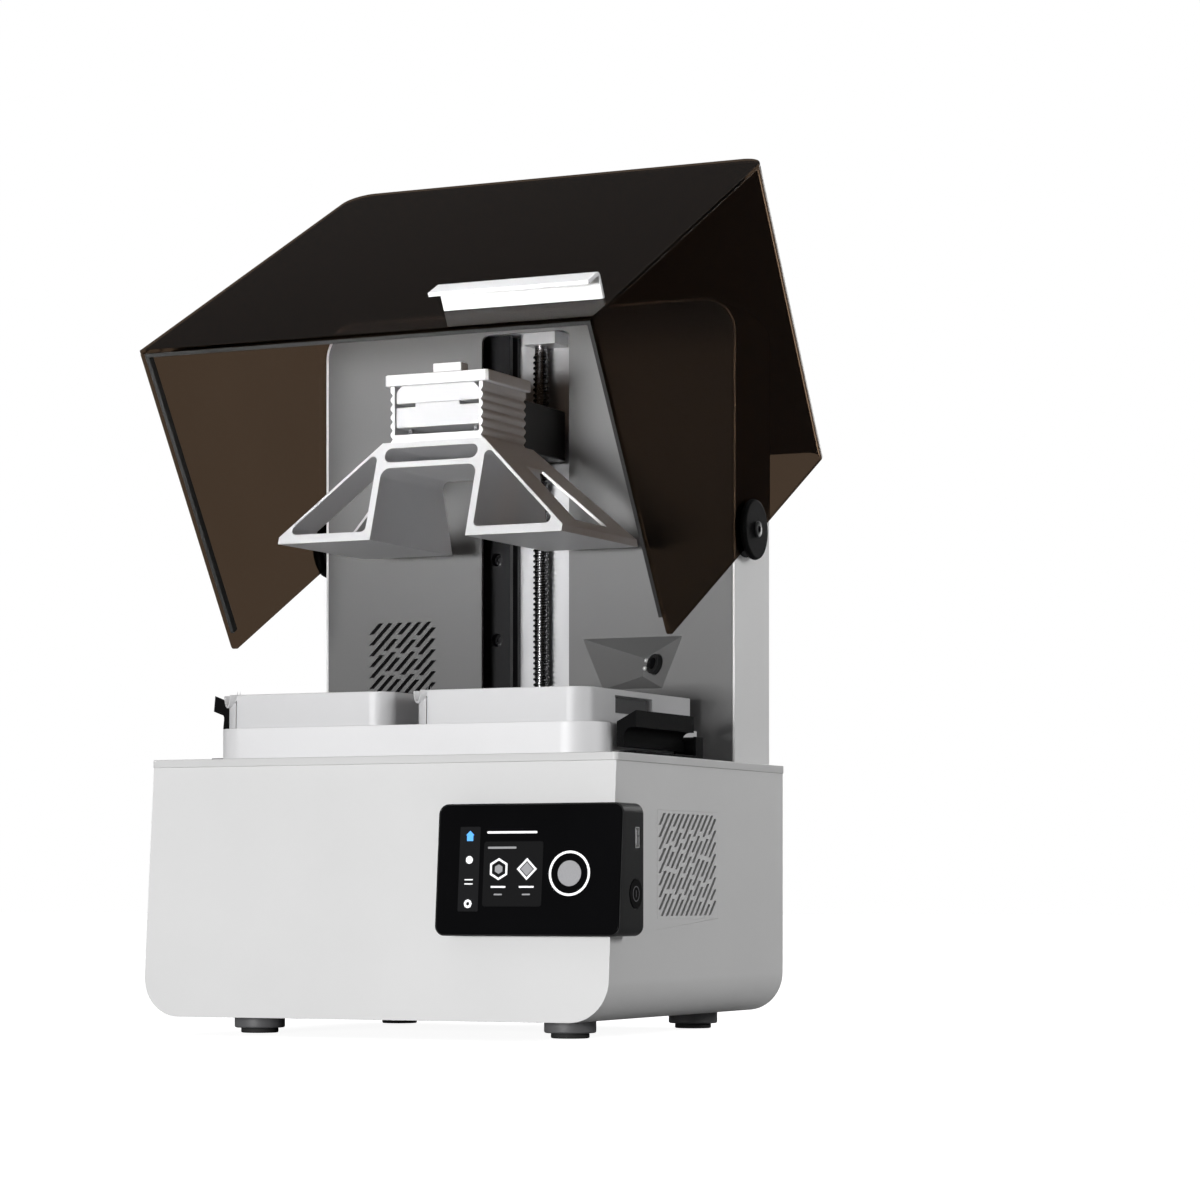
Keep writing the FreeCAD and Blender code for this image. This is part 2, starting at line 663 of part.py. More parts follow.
def cut_vent(body, axis, level, depth, xs, zs):
    slots = vent_slots(xs, zs)
    for first in range(0, len(slots), vent_batch):
        pocket(body, "%s_slots%d" % (body.Name, first), axis, level, depth, slots[first:first + vent_batch])


vent_batch = 12  # slots drawn in one sketch
side_grille = prism(
    "side_grille", "x", (inner_half, shell_half),
    rectangle((grille_front, s.grille_back), (s.grille_low, grille_top)))
cut_vent(side_grille, "x", inner_half, s.shell_wall,
         (grille_front + s.grille_rim, s.grille_back - s.grille_rim),
         (s.grille_low + s.grille_rim, grille_top - s.grille_rim))
node(side_grille)

rear_panel = prism(
    "rear_panel", "y", (shell_back - s.rear_thick, shell_back),
    [(-inner_half, shell_floor, inner_round), (inner_half, shell_floor, inner_round),
     (inner_half, plate_low), (-inner_half, plate_low)],
    [rectangle((s.inlet_x - s.inlet_wide / 2, s.inlet_x + s.inlet_wide / 2),
               (s.inlet_z - s.inlet_tall / 2, s.inlet_z + s.inlet_tall / 2))])
outlet_low = s.outlet_z - s.outlet_half
outlet_slots = pocket(
    rear_panel, "outlet_slots", "y", shell_back - s.rear_thick, s.rear_thick,
    [rectangle((s.outlet_x - s.outlet_half, s.outlet_x + s.outlet_half),
               (outlet_low, outlet_low + s.outlet_slot))])
repeat(rear_panel, "outlet_slot_rows", outlet_slots, ("upwards", s.outlet_slot * 2),
       count_in(s.outlet_half * 2, s.outlet_slot, s.outlet_slot * 2))
node(rear_panel)

# Top plate with the window of the exposure screen and the passage of the lead screw.
half_width = s.base_width / 2
half_depth = s.base_depth / 2
window_x = s.screen_width / 2 + s.screen_gap
window_y = s.screen_depth / 2 + s.screen_gap
screw_y = s.column_front + s.screw_set
screw_pass = s.screw_radius + past
node(prism(
    "top_plate", "z", (plate_low, plate_top),
    rectangle((-half_width, half_width), (-half_depth, half_depth), s.plate_round),
    [rectangle((-window_x, window_x), (s.work_y - window_y, s.work_y + window_y)),
     (as_size(0), screw_y, screw_pass)]))

# Four feet, each a disc of plastic over a rubber pad.
feet = []
pads = []
for side in (-1, 1):
    for place in (-s.foot_front, s.foot_back):
        spot = "%s_%s" % ("left" if side < 0 else "right", "front" if place.value < 0 else "back")
        spot_xy = (s.foot_span / 2 * side, place)
        feet.append(cylinder("foot_" + spot, "z", spot_xy, (s.pad_height, s.foot_height), s.foot_radius))
        pads.append(cylinder("pad_" + spot, "z", spot_xy, (0, s.pad_height), s.pad_radius))
node(group("feet", feet))
node(group("foot_pads", pads))

# Exposure screen in its window, with the lamp and its heat sink below.
screen_x = s.screen_width / 2
screen_y = s.screen_depth / 2
node(box("exposure_screen", (-screen_x, screen_x), (s.work_y - screen_y, s.work_y + screen_y),
         (plate_low, plate_top - s.screen_drop)))
board_low = shell_floor + s.supply_tall + s.supply_gap + s.sink_height
lamp_low = board_low + s.lamp_board_thick
lamp_drop = plate_low - lamp_low
rim_x = screen_x + s.lamp_rim
rim_y = screen_y + s.lamp_rim


def lamp_shape(name, inset):
    item = doc.addObject("Part::Wedge", name)
    item.Placement = Placement(Vector(), turns["y"])
    bind(item, "Placement.Base.z", plate_low)
    for edge, middle, half in (("X", as_size(0), rim_x - inset), ("Z", s.work_y, rim_y - inset)):
        bind(item, edge + "min", middle - half)
        bind(item, edge + "max", middle + half)
        bind(item, edge + "2min", middle - half + s.lamp_taper)
        bind(item, edge + "2max", middle + half - s.lamp_taper)
    bind(item, "Ymin", 0)
    bind(item, "Ymax", lamp_drop)
    return item


lamp_outer = lamp_shape("lamp_outer", as_size(0))
lamp_inner = lamp_shape("lamp_inner", s.lamp_seat)
node(cut("lamp_housing", lamp_outer, [lamp_inner]))
lamp_low_x = rim_x - s.lamp_taper
lamp_low_y = rim_y - s.lamp_taper
lamp_xs = (-lamp_low_x, lamp_low_x)
lamp_ys = (s.work_y - lamp_low_y, s.work_y + lamp_low_y)
node(box("lamp_board", lamp_xs, lamp_ys, (board_low, lamp_low)))
heat_sink = prism("lamp_heat_sink", "z", (board_low - s.sink_base, board_low),
                  rectangle(lamp_xs, lamp_ys))
fin_sketch = new_sketch(heat_sink, "fin_profile", "z", board_low - s.sink_base)
outline(fin_sketch, rectangle((-lamp_low_x, s.fin_thick - lamp_low_x), lamp_ys))
fin = heat_sink.newObject("PartDesign::Pad", "fin")
fin.Profile = fin_sketch
fin.Reversed = True
bind(fin, "Length", s.sink_height - s.sink_base)
repeat(heat_sink, "fins", fin, ("across", s.fin_pitch), count_in(lamp_low_x * 2, s.fin_thick, s.fin_pitch))
node(heat_sink)

# Mainboard on four posts at the left, power supply at the right, both on the base's floor.
floor_half = inner_half - inner_round
board_x = (-floor_half, s.board_wide - floor_half)
board_y = (s.work_y - s.board_long / 2, s.work_y + s.board_long / 2)
board_seat = shell_floor + s.board_rise
board_parts = [box("board_sheet", board_x, board_y, (board_seat, board_seat + s.board_thick))]
for x in (board_x[0], board_x[1] - s.post_side):
    for y in (board_y[0], board_y[1] - s.post_side):
        number = len(board_parts)
        board_parts.append(box("board_post%d" % number, (x, x + s.post_side), (y, y + s.post_side),
                               (shell_floor, board_seat)))
chip_x = (board_x[0] + s.chip_side, board_x[0] + s.chip_side * 2)
chip_z = (board_seat + s.board_thick, board_seat + s.board_thick + s.chip_tall)
board_parts.append(box("board_chip", chip_x, (board_y[0] + s.chip_side, board_y[0] + s.chip_side * 2),
                       chip_z))
board_parts.append(box("board_plugs", (board_x[0] + s.post_side * 2, board_x[1] - s.post_side * 2),
                       (board_y[1] - s.post_side * 3, board_y[1] - s.post_side * 2), chip_z))
node(fuse("mainboard", board_parts))
node(box("power_supply", (floor_half - s.supply_wide, floor_half),
         (s.work_y - s.supply_long / 2, s.work_y + s.supply_long / 2),
         (shell_floor, shell_floor + s.supply_tall)))

# Power inlet: a flange outside the rear panel and a hollow body through it.
inlet_x0 = s.inlet_x - s.inlet_wide / 2
inlet_x1 = s.inlet_x + s.inlet_wide / 2
inlet_z0 = s.inlet_z - s.inlet_tall / 2
inlet_z1 = s.inlet_z + s.inlet_tall / 2
inlet_face = shell_back + s.inlet_wall
inlet_body = box("inlet_body", (inlet_x0, inlet_x1), (shell_back - s.inlet_deep, inlet_face),
                 (inlet_z0, inlet_z1))
inlet_flange = box("inlet_flange", (inlet_x0 - s.inlet_rim, inlet_x1 + s.inlet_rim),
                   (shell_back, inlet_face), (inlet_z0 - s.inlet_rim, inlet_z1 + s.inlet_rim))
inlet_well = box("inlet_well", (inlet_x0 + s.inlet_wall, inlet_x1 - s.inlet_wall),
                 (inlet_face - s.inlet_well, inlet_face + past),
                 (inlet_z0 + s.inlet_wall, inlet_z1 - s.inlet_wall))
node(cut("power_inlet", fuse("inlet_block", [inlet_body, inlet_flange]), [inlet_well]))


# Column: an upright housing, rounded at its upper side corners and its upper rear edge, with an
# open front that a flush panel closes.
column_half = s.base_width / 2 - s.column_inset
column_top = plate_top + s.column_tall
column_back = s.column_front + s.column_depth


def column_front_view(inset, low):
    return [(inset - column_half, low), (column_half - inset, low),
            (column_half - inset, column_top - inset, s.column_round - inset),
            (inset - column_half, column_top - inset, s.column_round - inset)]


def column_side_view(front, inset, low):
    return [(front, low), (column_back - inset, low),
            (column_back - inset, column_top - inset, s.column_back_round - inset),
            (front, column_top - inset)]


column_outer = common(
    "column_outer",
    prism("column_outer_front", "y", (s.column_front, column_back),
          column_front_view(as_size(0), plate_top)),
    prism("column_outer_side", "x", (-column_half - past, column_half + past),
          column_side_view(s.column_front - past, as_size(0), plate_top)))
column_room = common(
    "column_room",
    prism("column_room_front", "y", (s.column_front - past, column_back),
          column_front_view(s.column_wall, plate_top - past)),
    prism("column_room_side", "x", (-column_half, column_half),
          column_side_view(s.column_front - past * 2, s.column_wall, plate_top - past)))
node(cut("column_shell", column_outer, [column_room]))

panel_back = s.column_front + s.panel_thick
slot_half = s.lift_slot_width / 2
camera_top = s.camera_low + s.camera_tall


def camera_mouth(grow):
    return [(s.camera_x - s.camera_low_half - grow, s.camera_low - grow),
            (s.camera_x + s.camera_low_half + grow, s.camera_low - grow),
            (s.camera_x + s.camera_top_half + grow, camera_top + grow),
            (s.camera_x - s.camera_top_half - grow, camera_top + grow)]


column_panel = prism(
    "column_front", "y", (s.column_front, panel_back),
    column_front_view(s.column_wall + s.panel_gap, plate_top),
    [[(-slot_half, plate_top + s.lift_slot_low), (slot_half, plate_top + s.lift_slot_low),
      (slot_half, column_top - s.lift_slot_head, s.lift_slot_round),
      (-slot_half, column_top - s.lift_slot_head, s.lift_slot_round)],
     camera_mouth(s.camera_wall)])
cut_vent(column_panel, "y", s.column_front, s.panel_thick,
         (s.vent_left, s.vent_left + s.vent_wide), (s.vent_low, s.vent_low + s.vent_tall))
node(column_panel)

# Camera pocket: a funnel of flat faces sunk in the column's front. Its left and right faces meet in a
# ridge that runs deeper upwards, because the mouth is wider at its top. The lens sits in the right face.
camera_back = s.column_front + s.camera_back
camera_floor = s.column_front + s.camera_deep
ridge_low = s.camera_low + s.camera_ridge_low
ridge_mid = ridge_low + s.camera_ridge / 2
mouth_gain = (s.camera_top_half - s.camera_low_half) / s.camera_tall
mid_half = s.camera_low_half + mouth_gain * (ridge_mid - s.camera_low)
ridge_tilt = mouth_gain * s.camera_deep / mid_half
ridge_angle = math.degrees(math.atan(ridge_tilt.value))
face_angle = math.atan2(mid_half.value, s.camera_deep.value * math.cos(math.radians(ridge_angle)))
camera_block = prism("camera_block", "y", (s.column_front, camera_back), camera_mouth(s.camera_wall))
funnel_deep = s.camera_back * 2
funnel_half = funnel_deep * math.tan(face_angle)
funnel_sides = prism("funnel_sides", "z", (-s.camera_tall * 2, s.camera_tall * 2),
                     [(0, 0), (-funnel_half, -funnel_deep), (funnel_half, -funnel_deep)])
ridge_spot = Vector(s.camera_x.value, camera_floor.value, ridge_mid.value)
funnel_sides.Placement = Placement(ridge_spot, Rotation(Vector(1, 0, 0), -ridge_angle))
funnel_back = camera_back - s.camera_wall
roof_drop = (camera_top - ridge_low - s.camera_ridge) / s.camera_deep
sill_rise = s.camera_ridge_low / s.camera_deep
funnel_run = funnel_back - s.column_front
funnel_levels = prism(
    "funnel_levels", "x", (s.camera_x - s.camera_top_half - past, s.camera_x + s.camera_top_half + past),
    [(s.column_front - past, s.camera_low - sill_rise * past),
     (funnel_back, s.camera_low + sill_rise * funnel_run),
     (funnel_back, camera_top - roof_drop * funnel_run),
     (s.column_front - past, camera_top + roof_drop * past)])
funnel = common("funnel", funnel_sides, funnel_levels)
ridge_run = Vector(0, math.sin(math.radians(ridge_angle)), math.cos(math.radians(ridge_angle)))
face_run = Vector(mid_half.value, -s.camera_deep.value, 0).normalize()
lens_axis = face_run.cross(ridge_run).normalize()
if lens_axis.x > 0:
    lens_axis = lens_axis * -1
lens_z = s.camera_low.value + s.lens_rise.value
lens_spot = ridge_spot + ridge_run * ((lens_z - ridge_spot.z) / ridge_run.z) + face_run * s.lens_along.value
lens = doc.addObject("Part::Cylinder", "camera_lens")
bind(lens, "Radius", s.lens_radius)
bind(lens, "Height", s.lens_long)
lens_base = lens_spot + lens_axis * (s.lens_proud.value - s.lens_long.value)
lens.Placement = Placement(lens_base, Rotation(Vector(0, 0, 1), lens_axis))
node(cut("camera_pocket", camera_block, [funnel, lens]))
node(lens)

# Lift channel behind the slot, with the guide rail on its back wall.
channel_front = s.column_front + s.channel_set
channel_back = channel_front + s.channel_deep
channel_floor = channel_back - s.channel_wall
channel_top = column_top - s.channel_head
channel_x0 = s.channel_wall - s.channel_left
channel_x1 = s.channel_right - s.channel_wall
node(prism(
    "lift_channel", "z", (plate_top, channel_top),
    [(-s.channel_left, channel_front), (channel_x0, channel_front),
     (channel_x0, channel_floor, s.channel_round), (channel_x1, channel_floor, s.channel_round),
     (channel_x1, channel_front), (s.channel_right, channel_front),
     (s.channel_right, channel_back), (-s.channel_left, channel_back)]))
rail_half = s.rail_wide / 2
rail_face = channel_floor - s.rail_deep
waist = rail_half - s.rail_waist
groove_start = rail_face + s.rail_cheek
groove_deep = groove_start + s.rail_bevel
groove_end = groove_deep + s.rail_neck
rail_right = [(s.rail_x + rail_half, rail_face), (s.rail_x + rail_half, groove_start),
              (s.rail_x + waist, groove_deep), (s.rail_x + waist, groove_end),
              (s.rail_x + rail_half, groove_end + s.rail_bevel), (s.rail_x + rail_half, channel_floor)]
rail_left = [(s.rail_x * 2 - x, y) for x, y in reversed(rail_right)]
rail_low = plate_top + s.rail_low
rail_tall = channel_top - s.rail_end - rail_low
guide_rail = prism("guide_rail", "z", (rail_low, rail_low + rail_tall), rail_right + rail_left)
rail_holes = pocket(guide_rail, "rail_holes", "y", rail_face, s.rail_hole_deep,
                    [(s.rail_x, rail_low + s.rail_pitch / 2, s.rail_hole)])
repeat(guide_rail, "rail_hole_row", rail_holes, ("upwards", s.rail_pitch),
       count_in(rail_tall, s.rail_pitch, s.rail_pitch))
node(guide_rail)

# Lift motor under the plate, lead screw above it and the bearing at its top.
motor_half = s.motor_wide / 2
node(prism("lift_motor", "z", (plate_low - s.motor_tall, plate_low),
           cut_corners((-motor_half, motor_half), (screw_y - motor_half, screw_y + motor_half), s.motor_cut)))
screw_top = channel_top - s.screw_drop
thread = cylinder("screw_thread", "z", (0, screw_y), (plate_low, screw_top), s.screw_radius)
journal = cylinder("screw_journal", "z", (0, screw_y), (screw_top, screw_top + s.journal_tall),
                   s.journal_radius)
node(fuse("lead_screw", [thread, journal]))
bearing_low = screw_top + s.run_gap * 4
node(prism("top_bearing", "z", (bearing_low, bearing_low + s.bearing_tall),
           rectangle((-s.bearing_wide / 3, s.bearing_wide * 2 / 3),
                     (screw_y - s.bearing_wide / 2, channel_floor)),
           [(as_size(0), screw_y, s.journal_radius + s.run_gap)]))
sensor_low = channel_top - s.sensor_drop
node(box("limit_sensor", (channel_x1 - s.sensor_wide, channel_x1),
         (channel_front + past, channel_front + past + s.sensor_deep),
         (sensor_low, sensor_low + s.sensor_tall)))

# Carriage: rail block, lead nut and arm.
platform_top = s.platform_low + s.platform_tall
head_low = platform_top
arm_low = head_low + s.run_gap
arm_top = arm_low + s.arm_tall
block_low = arm_low - s.block_under
nut_low = arm_low + s.nut_over
block_face = s.column_front + s.block_front
block_back = block_face + s.block_deep
block_half = s.block_wide / 2
groove_half = rail_half + s.run_gap
groove_face = rail_face - s.run_gap
node(prism(
    "rail_block", "z", (block_low, block_low + s.block_tall),
    [(s.rail_x - block_half, block_face), (s.rail_x + block_half, block_face),
     (s.rail_x + block_half, block_back), (s.rail_x + groove_half, block_back),
     (s.rail_x + groove_half, groove_face), (s.rail_x - groove_half, groove_face),
     (s.rail_x - groove_half, block_back), (s.rail_x - block_half, block_back)]))
nut_left = s.rail_x + block_half + s.run_gap
node(prism("lead_nut", "z", (nut_low, nut_low + s.nut_tall),
           rectangle((nut_left, nut_left + s.nut_wide), (block_face, channel_floor - s.run_gap * 2)),
           [(as_size(0), screw_y, s.screw_radius + s.run_gap)]))
head_front = s.work_y - s.head_deep / 2
head_back = s.work_y + s.head_deep / 2
arm_half = s.arm_wide / 2
head_top = head_low + s.head_tall
cap_top = head_top + s.cap_thick
node(prism(
    "lift_arm", "x", (-arm_half, arm_half),
    [(head_back, arm_low + s.arm_chamfer), (head_back + s.arm_chamfer, arm_low), (block_face, arm_low),
     (block_face, arm_top), (head_back, arm_top)]))

# Platform head: a grooved frame that is open to the front, with two clamp blocks inside and a
# wider plate on top.
head_half = s.head_wide / 2
window_half = head_half - s.head_side
head = prism(
    "platform_head", "y", (head_front, head_back),
    [(-head_half, head_low), (head_half, head_low), (head_half, head_top), (window_half, head_top),
     (window_half, head_low + s.head_bar), (-window_half, head_low + s.head_bar),
     (-window_half, head_top), (-head_half, head_top)])
groove_mid = head_low + s.groove_pitch / 2
groove_tip = head_half - s.groove_bite
groove_out = head_half + s.groove_bite
groove = [(groove_tip, groove_mid), (groove_out, groove_mid - s.groove_wide),
          (groove_out, groove_mid + s.groove_wide)]
grooves = pocket(head, "head_grooves", "y", head_front, s.head_deep,
                 [groove, [(-x, z) for x, z in groove]])
repeat(head, "head_groove_rows", grooves, ("upwards", s.groove_pitch),
       count_in(s.head_tall, s.groove_pitch, s.groove_pitch))
node(head)
cap_half = s.cap_wide / 2
cap_front = s.work_y - s.cap_deep / 2
cap_back = s.work_y + s.cap_deep / 2
node(prism("head_cap", "z", (head_top, cap_top),
           cut_corners((-cap_half, cap_half), (cap_front, cap_back), s.cap_cut)))
clamp_half = window_half - s.clamp_gap
clamp_low = head_low + s.head_bar + s.clamp_rise
clamp_mid = clamp_low + s.clamp_split
clamp_ys = (head_front + s.clamp_set, head_back - s.clamp_set)
slit_x = clamp_half - s.clamp_slit_long
node(prism(
    "clamp_lower", "y", clamp_ys,
    [(-clamp_half, clamp_low), (clamp_half, clamp_low), (clamp_half, clamp_mid - s.clamp_slit),
     (slit_x, clamp_mid - s.clamp_slit), (slit_x, clamp_mid), (-slit_x, clamp_mid),
     (-slit_x, clamp_mid - s.clamp_slit), (-clamp_half, clamp_mid - s.clamp_slit)]))
node(prism(
    "clamp_upper", "y", clamp_ys,
    [(-clamp_half, clamp_mid), (clamp_half, clamp_mid), (clamp_half, head_top - s.clamp_bevel),
     (clamp_half - s.clamp_bevel, head_top), (s.clamp_bevel - clamp_half, head_top),
     (-clamp_half, head_top - s.clamp_bevel)]))
level_spots = [(x, y) for x in (-s.level_span / 2, s.level_span / 2)
               for y in (clamp_ys[0] + s.level_inset, clamp_ys[1] - s.level_inset)]
level_screws = []
for number, (x, y) in enumerate(level_spots, start=1):
    screw = doc.addObject("Part::Prism", "level_screw%d" % number)
    screw.Polygon = 6
    bind(screw, "Circumradius", s.level_radius)
    bind(screw, "Height", s.clamp_rise)
    bind(screw, "Placement.Base.x", x)
    bind(screw, "Placement.Base.y", y)
    bind(screw, "Placement.Base.z", head_low + s.head_bar)
    level_screws.append(screw)
node(group("levelling_screws", level_screws))

# Build platform: one drawn profile with two wings, cut so that its front and rear faces lean in,
# and a window in each sloping wall.
half_plat = s.platform_wide / 2
neck_half = s.platform_neck / 2
arch_half = s.arch_wide / 2
z0 = s.platform_low
slope_x = half_plat - neck_half
slope_z = s.platform_tall - s.platform_tip
slope_length = root_of(slope_x * slope_x + slope_z * slope_z)
skin_drop = s.platform_skin * slope_length / slope_x


def skin_under(x):
    return platform_top - skin_drop - slope_z * (x - neck_half) / slope_x


leg_x = arch_half + s.platform_leg
foot_x = neck_half + slope_x * (s.platform_tall - skin_drop - s.platform_foot) / slope_z
bar_half = s.bar_slot_wide / 2
bar_low = z0 + s.bar_slot_low
wing = [(leg_x, z0 + s.platform_foot, s.wing_round), (foot_x, z0 + s.platform_foot, s.wing_round),
        (leg_x, skin_under(leg_x), s.wing_round)]
other_wing = [(-x, z, r) for x, z, r in reversed(wing)]
platform_front = s.work_y - s.platform_deep / 2
platform_back = s.work_y + s.platform_deep / 2
platform = prism(
    "build_platform", "y", (platform_front, platform_back),
    [(arch_half, z0), (half_plat, z0), (half_plat, z0 + s.platform_tip), (neck_half, platform_top),
     (-neck_half, platform_top), (-half_plat, z0 + s.platform_tip), (-half_plat, z0), (-arch_half, z0),
     (-arch_half, z0 + s.arch_tall, s.arch_round), (arch_half, z0 + s.arch_tall, s.arch_round)],
    [rectangle((-bar_half, bar_half), (bar_low, bar_low + s.bar_slot_tall), s.bar_slot_round),
     wing, other_wing])
lean_reach = half_plat + past
for name, edge, lean, reach in (("front_lean", platform_front, s.platform_lean, -past),
                                ("back_lean", platform_back, -s.platform_lean, past)):
    pocket(platform, name, "x", -lean_reach, lean_reach * 2,
           [[(edge, z0), (edge + lean, platform_top), (edge + lean, platform_top + past),
             (edge + reach, platform_top + past), (edge + reach, z0)]])


def side_half(x):
    narrow = s.platform_lean * (skin_under(x) + skin_drop - z0) / s.platform_tall
    return s.platform_deep / 2 - narrow - s.side_cut_rim


side_in = side_half(s.side_cut_in)
side_out = side_half(s.side_cut_out)
side_cut = [(s.side_cut_in, s.work_y - side_in), (s.side_cut_out, s.work_y - side_out),
            (s.side_cut_out, s.work_y + side_out), (s.side_cut_in, s.work_y + side_in)]
side_floor = skin_under(s.side_cut_out) - past / 2
pocket(platform, "side_windows", "z", platform_top + past, platform_top + past - side_floor,
       [side_cut, [(-x, y) for x, y in side_cut]], down=True)
node(platform)

# Release lever on the head: an arm with a thumb block, hinged on a pin between two ears.
pin_z = cap_top + s.lever_lift + s.barrel_radius
pin_y = s.work_y + s.lever_pivot_set
lever_low = cap_top + s.lever_lift
thumb_y = pin_y - s.lever_reach
lever_arm = box("lever_arm", (-s.lever_half, s.lever_half), (thumb_y, pin_y),
                (lever_low, lever_low + s.lever_thick))
thumb = box("lever_thumb", (-s.thumb_half, s.thumb_half), (thumb_y, thumb_y + s.thumb_deep),
            (lever_low, lever_low + s.thumb_tall))
barrel = cylinder("lever_barrel", "x", (pin_y, pin_z), (-s.lever_half, s.lever_half), s.barrel_radius)
pin_hole = cylinder("lever_hole", "x", (pin_y, pin_z), (-s.lever_half - past, s.lever_half + past),
                    s.pivot_radius + s.run_gap)
node(cut("release_lever", fuse("lever_blank", [lever_arm, thumb, barrel]), [pin_hole]))
ear_in = s.lever_half + s.run_gap
ear_out = ear_in + s.ear_thick
ear_ys = (pin_y - s.barrel_radius, pin_y + s.barrel_radius)
ear_top = pin_z + s.barrel_radius
node(fuse("release_bracket", [
    box("ear_left", (-ear_out, -ear_in), ear_ys, (cap_top, ear_top)),
    box("ear_right", (ear_in, ear_out), ear_ys, (cap_top, ear_top)),
    cylinder("lever_pin", "x", (pin_y, pin_z), (-ear_out, ear_out), s.pivot_radius)]))

# Vat: a low frame on the plate, two trays in it, each closed below by a film.
vat_half = s.vat_wide / 2
vat_ys = (s.work_y - s.vat_ahead, s.work_y + s.vat_behind)
tray_ys = (vat_ys[0] + s.vat_end, vat_ys[1] - s.vat_end)
tray_out = vat_half - s.vat_side
film_top = plate_top + s.film_thick
rim_top = plate_top + s.tray_top
hole_ys = (tray_ys[0] - s.tray_gap, tray_ys[1] + s.tray_gap)
hole_xs = (s.tray_split - s.tray_gap, tray_out + s.tray_gap)
node(prism(
    "vat_frame", "z", (plate_top, plate_top + s.vat_tall),
    rectangle((-vat_half, vat_half), vat_ys, s.vat_round),
    [rectangle(hole_xs, hole_ys, s.tray_round + s.tray_gap),
     rectangle((-hole_xs[1], -hole_xs[0]), hole_ys, s.tray_round + s.tray_gap)]))
films = []
for side, xs in (("left", (-tray_out, -s.tray_split)), ("right", (s.tray_split, tray_out))):
    room_xs = (xs[0] + s.tray_wall, xs[1] - s.tray_wall)
    room_ys = (tray_ys[0] + s.tray_wall, tray_ys[1] - s.tray_wall)
    tub = prism("tub_" + side, "z", (film_top, rim_top), rectangle(xs, tray_ys, s.tray_round),
                [rectangle(room_xs, room_ys, s.tray_round - s.tray_wall)])
    spout = []
    for role, radius, start, end in (("lip", s.spout_radius, as_size(0), s.spout_reach),
                                     ("bore", s.spout_radius - s.spout_wall, -past, s.spout_reach + past)):
        item = doc.addObject("Part::Cylinder", "spout_%s_%s" % (role, side))
        bind(item, "Radius", radius)
        bind(item, "Height", end - start)
        item.Angle = 180
        aim = Vector(-1, -1, 0).normalize()
        turn = Rotation(Vector(-1, 1, 0), Vector(0, 0, -1), aim, "ZXY")
        item.Placement = Placement(aim * start.value, turn)
        bind(item, "Placement.Base.x", xs[0] + s.tray_round + as_size(aim.x) * start)
        bind(item, "Placement.Base.y", tray_ys[0] + s.tray_round + as_size(aim.y) * start)
        bind(item, "Placement.Base.z", rim_top)
        spout.append(item)
    room = prism("tub_room_" + side, "z", (film_top, rim_top + past),
                 rectangle(room_xs, room_ys, s.tray_round - s.tray_wall))
    grip_ys = (s.work_y - s.grip_ahead - s.grip_long / 2, s.work_y - s.grip_ahead + s.grip_long / 2)
    grip_zs = (rim_top - s.grip_under - s.grip_tall, rim_top - s.grip_under)
    grip_out = tray_out + past
    grip_in = tray_out - s.grip_deep
    hump_out = tray_out - s.tray_wall / 2
    hump_in = grip_in - s.tray_wall
    grip_xs = (-grip_out, -grip_in) if side == "left" else (grip_in, grip_out)
    hump_xs = (-hump_out, -hump_in) if side == "left" else (hump_in, hump_out)
    grip = box("grip_" + side, grip_xs, grip_ys, grip_zs)
    hump = box("grip_hump_" + side, hump_xs, (grip_ys[0] - s.tray_wall, grip_ys[1] + s.tray_wall),
               (grip_zs[0] - s.tray_wall, rim_top))
    tray_lip = cut("tray_lip_" + side, fuse("tray_blank_" + side, [tub, spout[0]]), [spout[1], room])
    node(cut("tray_" + side, fuse("tray_walls_" + side, [tray_lip, hump]), [grip]))
    films.append(prism("film_" + side, "z", (plate_top, film_top), cut_corners(xs, tray_ys, s.tray_round)))
node(group("release_films", films))

